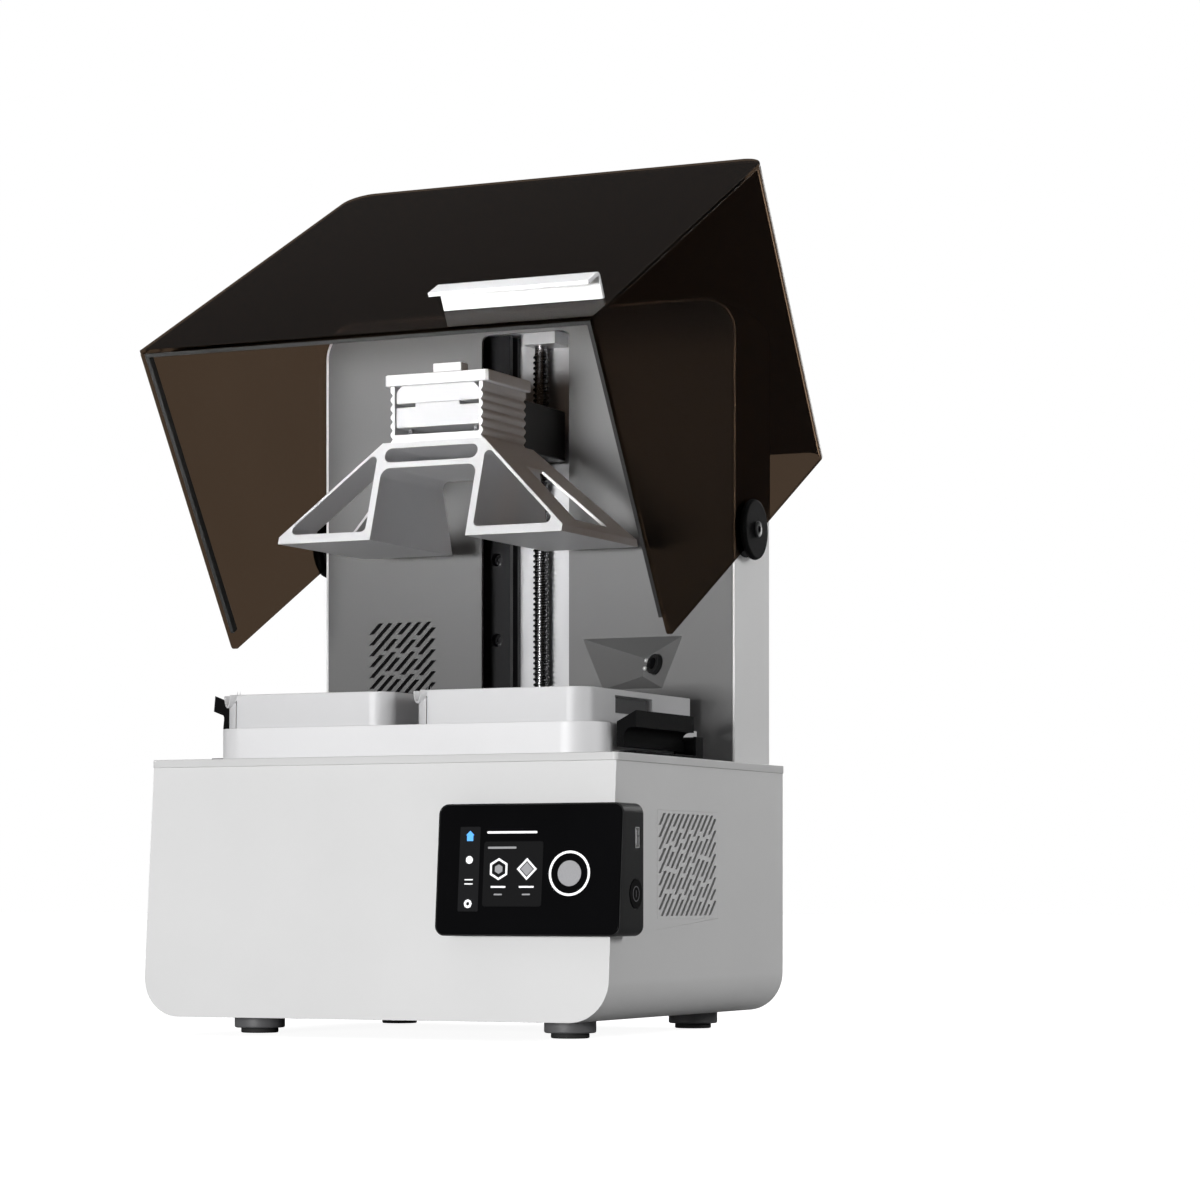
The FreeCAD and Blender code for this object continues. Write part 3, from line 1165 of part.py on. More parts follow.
# Vat levers: a web with a lip that flares outwards, hinged at the rear in a two-eared bracket. The
# left one stands raised.
clip_pin = (s.work_y + s.clip_pin_set, plate_top + s.clip_pin_z)
clip_low = plate_top + s.clip_low
clip_top = plate_top + s.clip_tall
clip_tip = clip_pin[0] - s.clip_long
ear_inner = vat_half + s.clip_gap
ear_outer = ear_inner + s.clip_wide
web_in = ear_inner + s.clip_ear + s.run_gap
web_out = ear_outer - s.clip_ear - s.run_gap
eye_clear = s.clip_eye * root_of(as_size(2)) + s.run_gap * 2
brackets = []
for side, sign in (("left", -1), ("right", 1)):
    def across(first, second):
        return (first, second) if sign > 0 else (-second, -first)

    lip_start = clip_pin[0] - eye_clear
    profile = [(web_in, clip_low), (web_in + s.clip_web, clip_low),
               (web_in + s.clip_web, clip_top - s.clip_lip, s.clip_hollow),
               (ear_outer, clip_top - s.clip_lip), (ear_outer, clip_top), (web_in, clip_top - s.clip_fall)]
    profile = [(corner[0] * sign,) + corner[1:] for corner in profile]
    web = prism("clip_web_" + side, "y", (clip_tip, lip_start), profile)
    boss = cylinder("clip_boss_" + side, "x", clip_pin, across(web_in, web_out), s.clip_eye)
    link = box("clip_link_" + side, across(web_in, web_in + s.clip_web), (lip_start - past, clip_pin[0]),
               (clip_low, clip_pin[1] + s.clip_eye / 2))
    hole = cylinder("clip_hole_" + side, "x", clip_pin, across(web_in - past, web_out + past),
                    s.clip_pin_radius + s.run_gap)
    lever = node(cut("vat_lever_" + side, fuse("clip_blank_" + side, [web, boss, link]), [hole]))
    if side == "left":
        pin_spot = Vector(0, clip_pin[0].value, clip_pin[1].value)
        lever.Placement = Placement(Vector(), Rotation(Vector(1, 0, 0), -values["clip_left_lift"]), pin_spot)
    ears = [box("clip_ear%d_%s" % (number, side), across(low, low + s.clip_ear),
                (clip_pin[0] - s.clip_eye, clip_pin[0] + s.clip_eye),
                (plate_top, clip_pin[1] + s.clip_eye))
            for number, low in enumerate((ear_inner, ear_outer - s.clip_ear), start=1)]
    bridge = box("clip_bridge_" + side, across(ear_inner, ear_outer), (clip_tip, clip_pin[0] + s.clip_eye),
                 (plate_top, clip_pin[1] - s.clip_eye - s.run_gap))
    pin = cylinder("clip_pin_" + side, "x", clip_pin, across(ear_inner, ear_outer), s.clip_pin_radius)
    brackets.append(fuse("clip_bracket_" + side, ears + [bridge, pin]))
node(group("vat_brackets", brackets))

# Display unit at the right front corner, raked like the base, with glass, data socket and button.
display_front = prism(
    "display_outline", "y", (front_low - s.display_proud - past, s.display_back),
    rectangle((display_left, display_right), (s.display_low, display_top), s.display_round))


def display_slab(name, near, far, xs):
    corners = [(front_at(s.display_low) - near, s.display_low), (front_at(display_top) - near, display_top)]
    if far is None:
        corners += [(s.display_back, display_top), (s.display_back, s.display_low)]
    else:
        corners += [(front_at(display_top) - far, display_top),
                    (front_at(s.display_low) - far, s.display_low)]
    return prism(name, "x", xs, corners)


display_xs = (display_left, display_right)
display_block = common("display_block", display_front,
                       display_slab("display_profile", s.display_proud, None, display_xs))
glass_outline = prism(
    "glass_outline", "y", (front_low - s.display_proud - past, s.display_back),
    rectangle((display_left + s.glass_rim, display_right - s.glass_rim),
              (s.display_low + s.glass_rim, display_top - s.glass_rim), s.display_round - s.glass_rim))
node(common("display_glass", glass_outline,
            display_slab("glass_slab", s.display_proud, s.display_proud - s.glass_thick, display_xs)))
glass_well = common("glass_well", glass_outline,
                    display_slab("glass_well_slab", s.display_proud + past,
                                 s.display_proud - s.glass_thick, display_xs))
button_hole = cylinder("button_hole", "x", (s.button_y, s.button_z),
                       (display_right - s.button_well, display_right + past),
                       s.button_radius + s.run_gap)
socket_ys = (s.socket_y - s.socket_wide / 2, s.socket_y + s.socket_wide / 2)
socket_zs = (s.socket_low, s.socket_low + s.socket_tall)
socket_seat = box("socket_seat", (display_right - s.socket_deep, display_right + past), socket_ys, socket_zs)
node(cut("display_case", display_block, [glass_well, button_hole, socket_seat]))
socket_block = box("socket_block", (display_right - s.socket_deep, display_right), socket_ys, socket_zs)
socket_room = box("socket_room", (display_right - s.socket_deep + s.socket_wall * 2, display_right + past),
                  (socket_ys[0] + s.socket_wall, socket_ys[1] - s.socket_wall),
                  (socket_zs[0] + s.socket_wall, socket_zs[1] - s.socket_wall))
node(cut("data_socket", socket_block, [socket_room]))
button_end = display_right + s.button_proud
node(cylinder("power_button", "x", (s.button_y, s.button_z), (button_end - s.button_thick, button_end),
              s.button_radius))

# Hood, modelled closed and then swung open about its hinge: side and top panels in one bent
# sheet, a flat front panel, a gasket in the rim, the handle and the hinge caps.
hood_low = plate_top + s.hood_seat
hood_top = column_top + s.hood_over
hood_tall = hood_top - hood_low
hood_half = column_half + s.hood_side_gap
hood_front_low = s.hood_front_in - half_depth
hood_back_low = s.column_front + s.hood_lap
hinge_y = s.column_front + s.hinge_set
hood_at_hinge = hood_half - s.hood_draft * (s.hinge_z - hood_low) / hood_tall
hood_y0 = hood_front_low - past
hood_y1 = hood_back_low + s.hood_rake + past


def hood_shape(name, inset, low):
    foot = hood_half - inset + s.hood_draft * (hood_low - low) / hood_tall
    top_x = hood_half - inset - s.hood_draft
    top = hood_top - inset
    return prism(name, "y", (hood_y0, hood_y1),
                 [(-foot, low), (foot, low), (top_x, top, s.hood_round - inset),
                  (-top_x, top, s.hood_round - inset)])


def hood_lean(z):
    return s.hood_rake * (z - hood_low) / hood_tall


hood_reach = hood_half + past
hood_xs = (-hood_reach, hood_reach)
sheet_front = hood_front_low + s.hood_wall
hood_outer = hood_shape("hood_outer", as_size(0), hood_low)
hood_inner = hood_shape("hood_inner", s.hood_wall, hood_low - past)
hood_core = hood_shape("hood_core", s.hood_wall + s.gasket_wide, hood_low - past)
hood_side = prism(
    "hood_side", "x", hood_xs,
    [(sheet_front, hood_low), (hood_back_low, hood_low, s.hood_tip),
     (hood_back_low + s.hood_rake, hood_top), (sheet_front + s.hood_rake, hood_top)])
hood_pin_hole = cylinder("hood_pin_hole", "x", (hinge_y, s.hinge_z), hood_xs, s.hinge_pin + s.run_gap)
hood_sheet = cut("hood_shell", common("hood_band", hood_outer, hood_side), [hood_inner, hood_pin_hole])
hood_front_slab = prism(
    "hood_front_slab", "x", hood_xs,
    [(hood_front_low, hood_low), (sheet_front, hood_low),
     (sheet_front + s.hood_rake, hood_top), (hood_front_low + s.hood_rake, hood_top)])
hood_panel = common("hood_front", hood_outer, hood_front_slab)
gasket_top = hood_low + s.gasket_tall
gasket_end = hood_back_low - s.gasket_stop
gasket_band = prism(
    "gasket_band", "x", hood_xs,
    [(sheet_front, hood_low), (gasket_end, hood_low), (gasket_end, gasket_top),
     (sheet_front + hood_lean(gasket_top), gasket_top)])
gasket_void = prism(
    "gasket_void", "x", hood_xs,
    [(sheet_front + s.gasket_wide, hood_low - past), (gasket_end + past, hood_low - past),
     (gasket_end + past, gasket_top + past), (sheet_front + s.gasket_wide, gasket_top + past)])
gasket = cut("hood_gasket", common("gasket_block", hood_inner, gasket_band),
             [common("gasket_room", hood_core, gasket_void)])
handle_top = s.handle_up + s.handle_thick
handle = prism(
    "hood_handle", "x", (s.handle_left, s.handle_left + s.handle_long),
    [(0, s.handle_up), (0, handle_top), (-s.handle_out, handle_top, s.handle_bend),
     (-s.handle_out, handle_top - s.handle_lip), (s.handle_thick - s.handle_out, handle_top - s.handle_lip),
     (s.handle_thick - s.handle_out, s.handle_up)])
caps = []
for side, sign in (("left", -1), ("right", 1)):
    ends = (hood_half - past, hood_at_hinge + s.hinge_cap_thick)
    span = ends if sign > 0 else (-ends[1], -ends[0])
    disc = cylinder("cap_disc_" + side, "x", (hinge_y, s.hinge_z), span, s.hinge_cap)
    caps.append(cut("hinge_cap_" + side, disc, [hood_outer]))
hinge_caps = group("hinge_caps", caps)
hinge_spot = Vector(0, hinge_y.value, values["hinge_z"])
swing = Placement(Vector(), Rotation(Vector(1, 0, 0), -values["hood_open"]), hinge_spot)
hood_tilt = math.degrees(math.atan2(values["hood_rake"], hood_tall.value))
handle_seat = Placement(Vector(0, hood_front_low.value, hood_low.value),
                        Rotation(Vector(1, 0, 0), -hood_tilt))
for item in (hood_sheet, hood_panel, gasket, hinge_caps):
    item.Placement = swing
    node(item)
handle.Placement = swing * handle_seat
node(handle)
bases = []
for side, sign in (("left", -1), ("right", 1)):
    disc_end = column_half + s.hinge_disc_thick
    spans = [(column_half, disc_end), (disc_end, hood_at_hinge - s.run_gap)]
    if sign < 0:
        spans = [(-far, -near) for near, far in spans]
    bases.append(fuse("hinge_base_" + side, [
        cylinder("hinge_disc_" + side, "x", (hinge_y, s.hinge_z), spans[0], s.hinge_disc),
        cylinder("hinge_pin_" + side, "x", (hinge_y, s.hinge_z), spans[1], s.hinge_pin)]))
node(group("hinge_bases", bases))

doc.recompute()

# Every object has to be sound before any file is written.
for item in doc.Objects:
    if "Invalid" in item.State or "Error" in item.State:
        raise RuntimeError("%s did not build: %s" % (item.Name, item.State))
for item in nodes:
    if item.Shape.isNull() or not item.Shape.isValid() or not item.Shape.Solids:
        raise RuntimeError("%s has no sound solid" % item.Label)
os.makedirs("parts", exist_ok=True)
for item in nodes:
    item.Shape.exportStep(os.path.join("parts", item.Label + ".step"))
    frame = item.Shape.BoundBox
    print("%-18s %d solids  X %.1f..%.1f  Y %.1f..%.1f  Z %.1f..%.1f  %.1f cm3" % (
        item.Label, len(item.Shape.Solids), frame.XMin, frame.XMax, frame.YMin, frame.YMax,
        frame.ZMin, frame.ZMax, item.Shape.Volume / 1000))
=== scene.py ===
import json
import math

import bmesh
import bpy
from mathutils import Matrix, Vector


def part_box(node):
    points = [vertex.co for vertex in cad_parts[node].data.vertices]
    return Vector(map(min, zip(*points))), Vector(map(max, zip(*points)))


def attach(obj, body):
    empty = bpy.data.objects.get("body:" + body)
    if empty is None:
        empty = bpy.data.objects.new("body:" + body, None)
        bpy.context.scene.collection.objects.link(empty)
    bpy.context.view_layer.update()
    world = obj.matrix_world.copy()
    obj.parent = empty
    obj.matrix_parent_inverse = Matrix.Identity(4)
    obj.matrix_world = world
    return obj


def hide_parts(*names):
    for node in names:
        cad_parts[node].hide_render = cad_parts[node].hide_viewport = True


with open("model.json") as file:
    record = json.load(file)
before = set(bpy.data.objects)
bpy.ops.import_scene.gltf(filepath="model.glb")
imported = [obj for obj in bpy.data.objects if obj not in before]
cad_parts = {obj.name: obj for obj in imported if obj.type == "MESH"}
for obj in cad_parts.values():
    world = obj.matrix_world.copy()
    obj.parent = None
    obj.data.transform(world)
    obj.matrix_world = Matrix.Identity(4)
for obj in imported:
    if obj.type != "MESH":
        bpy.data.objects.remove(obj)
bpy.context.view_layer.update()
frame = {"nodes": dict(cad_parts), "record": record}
record = frame["record"]
slotOf = {part["node"]: part["material_slot"] for part in record["subparts"]}
bodyOf = {node: body for body, members in record["behaviour"]["bodies"].items() for node in members}
print("frame loaded:", len(slotOf), "nodes")

front = Vector((0, -1, 0))
rear = Vector((0, 1, 0))
right = Vector((1, 0, 0))
skyward = Vector((0, 0, 1))
millimetres = 1000  # in a metre


# small helpers for working by hand


def clearSelection():
    if bpy.context.object is not None and bpy.context.object.mode != "OBJECT":
        bpy.ops.object.mode_set(mode="OBJECT")
    bpy.ops.object.select_all(action="DESELECT")


def pickUp(piece):  # alone selected and active
    clearSelection()
    piece.select_set(True)
    bpy.context.view_layer.objects.active = piece


def editMesh(piece):
    pickUp(piece)
    bpy.ops.object.mode_set(mode="EDIT")


def chooseFaces(piece, test):  # in edit mode, by normal
    mesh = bmesh.from_edit_mesh(piece.data)
    bpy.ops.mesh.select_mode(type="FACE")
    bpy.ops.mesh.select_all(action="DESELECT")
    mesh.faces.ensure_lookup_table()
    for face in mesh.faces:
        face.select_set(test(face.normal))
    bmesh.update_edit_mesh(piece.data)


def leaveEdit():
    bpy.ops.object.mode_set(mode="OBJECT")


def newest(name):
    piece = bpy.context.object
    piece.name = name
    piece.data.name = name
    return piece


def place(piece, matrix):  # puts the piece there and writes the place into its mesh
    bpy.context.view_layer.update()
    piece.matrix_world = matrix @ piece.matrix_world
    pickUp(piece)
    bpy.ops.object.transform_apply(location=True, rotation=True, scale=True)


def smoothBelow(angle):  # degrees between faces
    bpy.ops.object.shade_smooth_by_angle(angle=math.radians(angle))


edgeLook = {"steps": 2, "leastFold": 32, "smooth": 38, "weight": 100}


def softEdges(piece, width):
    pickUp(piece)
    edge = piece.modifiers.new("edge", "BEVEL")
    edge.width = width
    edge.segments = edgeLook["steps"]
    edge.limit_method = "ANGLE"
    edge.angle_limit = math.radians(edgeLook["leastFold"])
    edge.miter_outer = "MITER_ARC"
    bpy.ops.object.modifier_apply(modifier=edge.name)
    smoothBelow(edgeLook["smooth"])
    level = piece.modifiers.new("level", "WEIGHTED_NORMAL")  # keeps broad flat faces flat
    level.weight = edgeLook["weight"]
    level.keep_sharp = True
    bpy.ops.object.modifier_apply(modifier=level.name)


def copyOf(piece, name):
    twin = piece.copy()
    twin.data = piece.data.copy()
    twin.name = name
    twin.data.name = name
    bpy.context.scene.collection.objects.link(twin)
    return twin


def finishPiece(piece, material, body):
    piece.data.materials.clear()
    piece.data.materials.append(material)
    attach(piece, body)


faceSearch = {"least": 0.4, "digits": 2}


def flatFace(nodeName, toward):  # centre and normal of the largest flat face that looks that way
    found = {}
    for face in frame["nodes"][nodeName].data.polygons:
        if face.normal.dot(toward) > faceSearch["least"]:
            key = tuple(round(n, faceSearch["digits"]) for n in face.normal)
            total, centre, normal = found.get(key, (0.0, Vector(), face.normal.copy()))
            found[key] = (total + face.area, centre + face.center * face.area, normal)
    total, centre, normal = max(found.values(), key=lambda entry: entry[0])
    return centre / total, normal


def standOn(centre, normal):  # matrix whose Z is the normal and Y is up the face
    zAxis = normal.normalized()
    xAxis = skyward.cross(zAxis).normalized()
    yAxis = zAxis.cross(xAxis)
    turn = Matrix((xAxis, yAxis, zAxis)).transposed().to_4x4()
    return Matrix.Translation(centre) @ turn


# finishes


def newMaterial(name):
    material = bpy.data.materials.new(name)
    material.use_nodes = True
    return material, material.node_tree, material.node_tree.nodes["Principled BSDF"]


def addNode(tree, kind, **values):
    node = tree.nodes.new(kind)
    for key, value in values.items():
        if key in node.inputs:
            node.inputs[key].default_value = value
        else:
            setattr(node, key, value)
    return node


def speckle(tree, scale, detail, stretch=None):  # noise in the piece's own metres
    where = addNode(tree, "ShaderNodeTexCoord")
    noise = addNode(tree, "ShaderNodeTexNoise", Scale=scale, Detail=detail)
    if stretch:
        mapping = addNode(tree, "ShaderNodeMapping", Scale=stretch)
        tree.links.new(where.outputs["Object"], mapping.inputs["Vector"])
        tree.links.new(mapping.outputs["Vector"], noise.inputs["Vector"])
    else:
        tree.links.new(where.outputs["Object"], noise.inputs["Vector"])
    return noise


noiseSpan = {"toneLow": 0.35, "toneHigh": 0.65, "glossLow": 0.3, "glossHigh": 0.7}


def tones(tree, noise, dark, light):
    ramp = addNode(tree, "ShaderNodeValToRGB")
    first, last = ramp.color_ramp.elements
    first.position = noiseSpan["toneLow"]
    last.position = noiseSpan["toneHigh"]
    first.color = (*dark, 1.0)
    last.color = (*light, 1.0)
    tree.links.new(noise.outputs["Fac"], ramp.inputs["Fac"])
    return ramp.outputs["Color"]


def glossDrift(tree, noise, low, high):
    between = addNode(tree, "ShaderNodeMapRange")
    between.inputs["From Min"].default_value = noiseSpan["glossLow"]
    between.inputs["From Max"].default_value = noiseSpan["glossHigh"]
    between.inputs["To Min"].default_value = low
    between.inputs["To Max"].default_value = high
    tree.links.new(noise.outputs["Fac"], between.inputs["Value"])
    return between.outputs["Result"]


plainLook = {  # what a finish has where it says nothing else
    "patch": 9.0, "patchDetail": 4.0, "gritScale": 900.0, "gritDetail": 2.0, "grain": None, "depth": 0.0002,
    "metal": 0.0, "shine": 0.5, "coat": 0.0, "coatRough": 0.1, "clear": 0.0, "ior": 1.5,
}


def surface(name, ownLook):  # colour drift, gloss drift and a fine relief
    look = {**plainLook, **ownLook}
    material, tree, shader = newMaterial(name)
    dark = tuple(c * (1 - look["drift"]) for c in look["colour"])
    light = tuple(min(1.0, c * (1 + look["drift"])) for c in look["colour"])
    broad = speckle(tree, look["patch"], look["patchDetail"], look["grain"])
    tree.links.new(tones(tree, broad, dark, light), shader.inputs["Base Color"])
    fine = speckle(tree, look["gritScale"], look["gritDetail"], look["grain"])
    low, high = look["rough"]
    tree.links.new(glossDrift(tree, fine, low, high), shader.inputs["Roughness"])
    bump = addNode(tree, "ShaderNodeBump", Strength=look["relief"], Distance=look["depth"])
    tree.links.new(fine.outputs["Fac"], bump.inputs["Height"])
    tree.links.new(bump.outputs["Normal"], shader.inputs["Normal"])
    shader.inputs["Metallic"].default_value = look["metal"]
    shader.inputs["Specular IOR Level"].default_value = look["shine"]
    shader.inputs["Coat Weight"].default_value = look["coat"]
    shader.inputs["Coat Roughness"].default_value = look["coatRough"]
    shader.inputs["Transmission Weight"].default_value = look["clear"]
    shader.inputs["IOR"].default_value = look["ior"]
    return material


glowLook = {"scale": 1400.0, "detail": 1.0, "dim": 0.93, "rough": 0.35, "shine": 0.03}


def glowing(name, colour, strength):  # lit parts of the display
    material, tree, shader = newMaterial(name)
    noise = speckle(tree, glowLook["scale"], glowLook["detail"])
    dark = tuple(c * glowLook["dim"] for c in colour)
    tree.links.new(tones(tree, noise, dark, colour), shader.inputs["Base Color"])
    tree.links.new(tones(tree, noise, dark, colour), shader.inputs["Emission Color"])
    shader.inputs["Emission Strength"].default_value = strength
    shader.inputs["Roughness"].default_value = glowLook["rough"]
    shader.inputs["Specular IOR Level"].default_value = glowLook["shine"]
    return material


finishes = {
    "shellPaint": {"colour": (0.80, 0.80, 0.80), "drift": 0.015, "rough": (0.38, 0.50),
                   "relief": 0.06, "gritScale": 1600.0},
    "plateCoat": {"colour": (0.70, 0.70, 0.70), "drift": 0.02, "rough": (0.36, 0.50),
                  "relief": 0.05, "gritScale": 1800.0},
    "columnPaint": {"colour": (0.86, 0.86, 0.86), "drift": 0.015, "rough": (0.40, 0.52),
                    "relief": 0.06, "gritScale": 1600.0},
    # column front: grey paint set darker still, so the panel carries the hood's shade: partly real grey,
    # partly painted shade
    "columnGreyAndShade": {"colour": (0.145, 0.145, 0.145), "drift": 0.02, "rough": (0.42, 0.55),
                   "relief": 0.06, "gritScale": 1600.0},
    # camera pocket: the column front's grey, kept dark for the shade inside the recess: partly real grey,
    # partly painted shade
    "pocketGreyAndShade": {"colour": (0.15, 0.15, 0.15), "drift": 0.02, "rough": (0.42, 0.55),
                   "relief": 0.06, "gritScale": 1600.0},
    "castSilver": {"colour": (0.68, 0.68, 0.69), "drift": 0.02, "rough": (0.40, 0.52),
                   "relief": 0.08, "gritScale": 2400.0, "metal": 0.15},
    "headSilver": {"colour": (0.54, 0.54, 0.55), "drift": 0.02, "rough": (0.40, 0.52),
                   "relief": 0.08, "gritScale": 2400.0, "metal": 0.15},
    "traySatin": {"colour": (0.66, 0.66, 0.67), "drift": 0.02, "rough": (0.46, 0.58),
                  "relief": 0.06, "gritScale": 2400.0, "metal": 0.12},
    "vatSatin": {"colour": (0.80, 0.80, 0.81), "drift": 0.02, "rough": (0.46, 0.58),
                 "relief": 0.06, "gritScale": 2400.0, "metal": 0.12},
    "channelAnodised": {"colour": (0.55, 0.55, 0.56), "drift": 0.05, "rough": (0.30, 0.42),
                        "relief": 0.05, "gritScale": 300.0, "grain": (6.0, 6.0, 0.15), "metal": 0.6},
    "darkRail": {"colour": (0.018, 0.018, 0.019), "drift": 0.2, "rough": (0.28, 0.44),
                 "relief": 0.05, "gritScale": 300.0, "grain": (8.0, 8.0, 0.1), "metal": 0.5, "shine": 0.2},
    "darkThread": {"colour": (0.20, 0.20, 0.205), "drift": 0.2, "rough": (0.16, 0.28),
                   "relief": 0.05, "metal": 1.0},
    # black parts: black plastic set darker than such plastic is, carrying the shade under the lever lips:
    # partly real black, partly painted shade
    "blackGrainAndShade": {"colour": (0.005, 0.005, 0.0053), "drift": 0.2, "rough": (0.46, 0.62),
                   "relief": 0.12, "gritScale": 1500.0, "shine": 0.025},
    "caseBlack": {"colour": (0.022, 0.022, 0.0225), "drift": 0.15, "rough": (0.36, 0.48),
                  "relief": 0.10, "gritScale": 1800.0, "shine": 0.08},
    "armGrey": {"colour": (0.018, 0.018, 0.019), "drift": 0.1, "rough": (0.38, 0.50),
                "relief": 0.08, "gritScale": 2000.0, "shine": 0.3},
    "footGrey": {"colour": (0.13, 0.13, 0.135), "drift": 0.08, "rough": (0.45, 0.6),
                 "relief": 0.15, "gritScale": 1300.0},
    # dark grey for the plates in the trays' finger recesses: painted shade
    "gripShadeGrey": {"colour": (0.075, 0.075, 0.077), "drift": 0.08, "rough": (0.55, 0.7),
                 "relief": 0.2, "gritScale": 1100.0},
    "padRubber": {"colour": (0.018, 0.018, 0.018), "drift": 0.25, "rough": (0.7, 0.85),
                  "relief": 0.3, "gritScale": 800.0},
    "smokedSheet": {"colour": (0.056, 0.037, 0.024), "drift": 0.05, "rough": (0.05, 0.09),
                    "relief": 0.01, "gritScale": 200.0, "patch": 3.0, "clear": 1.0, "ior": 1.052},
    "handleSatin": {"colour": (0.90, 0.90, 0.91), "drift": 0.03, "rough": (0.32, 0.44),
                    "relief": 0.05, "gritScale": 500.0, "grain": (0.15, 6.0, 6.0), "metal": 0.2},
    "blackGlass": {"colour": (0.004, 0.004, 0.0045), "drift": 0.2, "rough": (0.03, 0.06),
                   "relief": 0.004, "shine": 0.03},
    "screenGlass": {"colour": (0.012, 0.012, 0.016), "drift": 0.2, "rough": (0.06, 0.1),
                    "relief": 0.004, "coat": 0.6},
    "filmClear": {"colour": (0.80, 0.83, 0.85), "drift": 0.02, "rough": (0.08, 0.16),
                  "relief": 0.02, "gritScale": 60.0, "clear": 0.8, "ior": 1.35},
    "socketPlate": {"colour": (0.80, 0.80, 0.80), "drift": 0.05, "rough": (0.25, 0.36),
                    "relief": 0.03, "metal": 0.5},
    "boardGreen": {"colour": (0.02, 0.11, 0.045), "drift": 0.15, "rough": (0.3, 0.5),
                   "relief": 0.1, "gritScale": 400.0},
    "boltSteel": {"colour": (0.42, 0.42, 0.43), "drift": 0.08, "rough": (0.22, 0.34),
                  "relief": 0.04, "metal": 1.0},
    "boltBlack": {"colour": (0.02, 0.02, 0.021), "drift": 0.2, "rough": (0.28, 0.4),
                  "relief": 0.06, "metal": 0.6},
}
paint = {name: surface(name, look) for name, look in finishes.items()}
print("finishes made:", len(paint))

slotFinish = {  # which finish each slot of the record gets
    "shell_white": "shellPaint", "plate_grey": "plateCoat", "column_white": "columnPaint",
    "silver_cast": "castSilver", "tray_silver": "traySatin", "channel_silver": "channelAnodised",
    "rail_steel": "darkRail", "screw_steel": "darkThread", "black_part": "blackGrainAndShade",
    "foot_grey": "footGrey", "soft_black": "padRubber", "hood_smoke": "smokedSheet",
    "handle_white": "handleSatin", "glass_black": "blackGlass", "screen_glass": "screenGlass",
    "film_clear": "filmClear", "socket_metal": "socketPlate", "board_green": "boardGreen",
}
nodeFinish = {  # single pieces that differ from their slot
    "clamp_upper": "headSilver", "clamp_lower": "headSilver", "lift_arm": "armGrey",
    "top_bearing": "channelAnodised", "vat_frame": "vatSatin", "column_front": "columnGreyAndShade",
    "camera_pocket": "pocketGreyAndShade", "display_case": "caseBlack", "levelling_screws": "boltSteel",
}


def finishOf(nodeName):
    return paint[nodeFinish.get(nodeName, slotFinish[slotOf[nodeName]])]


for nodeName, node in frame["nodes"].items():
    node.data.materials.clear()
    node.data.materials.append(finishOf(nodeName))


# pieces that keep the solid's form and get rounded edges

edgeWidths = {
    "base_shell": 0.0003, "top_plate": 0.0006, "column_shell": 0.0006, "camera_pocket": 0.0003,
    "feet": 0.0012, "foot_pads": 0.0008, "lift_channel": 0.0005, "guide_rail": 0.0003,
    "top_bearing": 0.0006, "limit_sensor": 0.0005, "rail_block": 0.0008, "lead_nut": 0.0006,
    "lift_arm": 0.0012, "platform_head": 0.0005, "head_cap": 0.0008, "clamp_lower": 0.0005,
    "clamp_upper": 0.0005, "build_platform": 0.0007, "release_lever": 0.0006, "release_bracket": 0.0004,
    "vat_frame": 0.0010, "tray_left": 0.0007, "tray_right": 0.0007, "vat_lever_left": 0.0008,
    "vat_lever_right": 0.0008, "vat_brackets": 0.0006, "display_case": 0.0012, "display_glass": 0.0006,
    "hood_shell": 0.0006, "hood_front": 0.0006, "hood_handle": 0.0005, "hinge_caps": 0.0020,
    "hinge_bases": 0.0006, "power_inlet": 0.0005, "data_socket": 0.00015, "hood_gasket": 0.0006,
    "exposure_screen": 0.0003,
}
roundingLook = {"join": 0.000002, "flat": 0.6}  # metres and degrees
keptFacets = ("camera_pocket",)  # faces with wide holes stay as they are drawn


def rounded(nodeName):
    source = frame["nodes"][nodeName]
    piece = source.copy()
    piece.data = source.data.copy()
    for key in list(piece.keys()):
        del piece[key]
    piece.parent = None
    bpy.context.scene.collection.objects.link(piece)
    piece.name = nodeName + "_dressed"
    piece.data.name = piece.name
    editMesh(piece)
    bpy.ops.mesh.select_all(action="SELECT")
    bpy.ops.mesh.remove_doubles(threshold=roundingLook["join"])
    if nodeName not in keptFacets:
        bpy.ops.mesh.dissolve_limited(angle_limit=math.radians(roundingLook["flat"]))
    leaveEdit()
    softEdges(piece, edgeWidths[nodeName])
    finishPiece(piece, finishOf(nodeName), bodyOf[nodeName])
    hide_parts(nodeName)


for nodeName in edgeWidths:
    rounded(nodeName)
print("rounded pieces:", len(edgeWidths))


# lead screw with a real thread

screwLook = {
    "pitch": 0.004, "root": 0.0047, "crest": 0.0060, "flank": 0.0009, "land": 0.0008, "steps": 28,
    "join": 0.00001, "smooth": 35,
    "bare": 0.0085, "endRadius": 0.0045, "endSides": 28, "endSunk": 0.006, "endEdge": 0.0006,
}


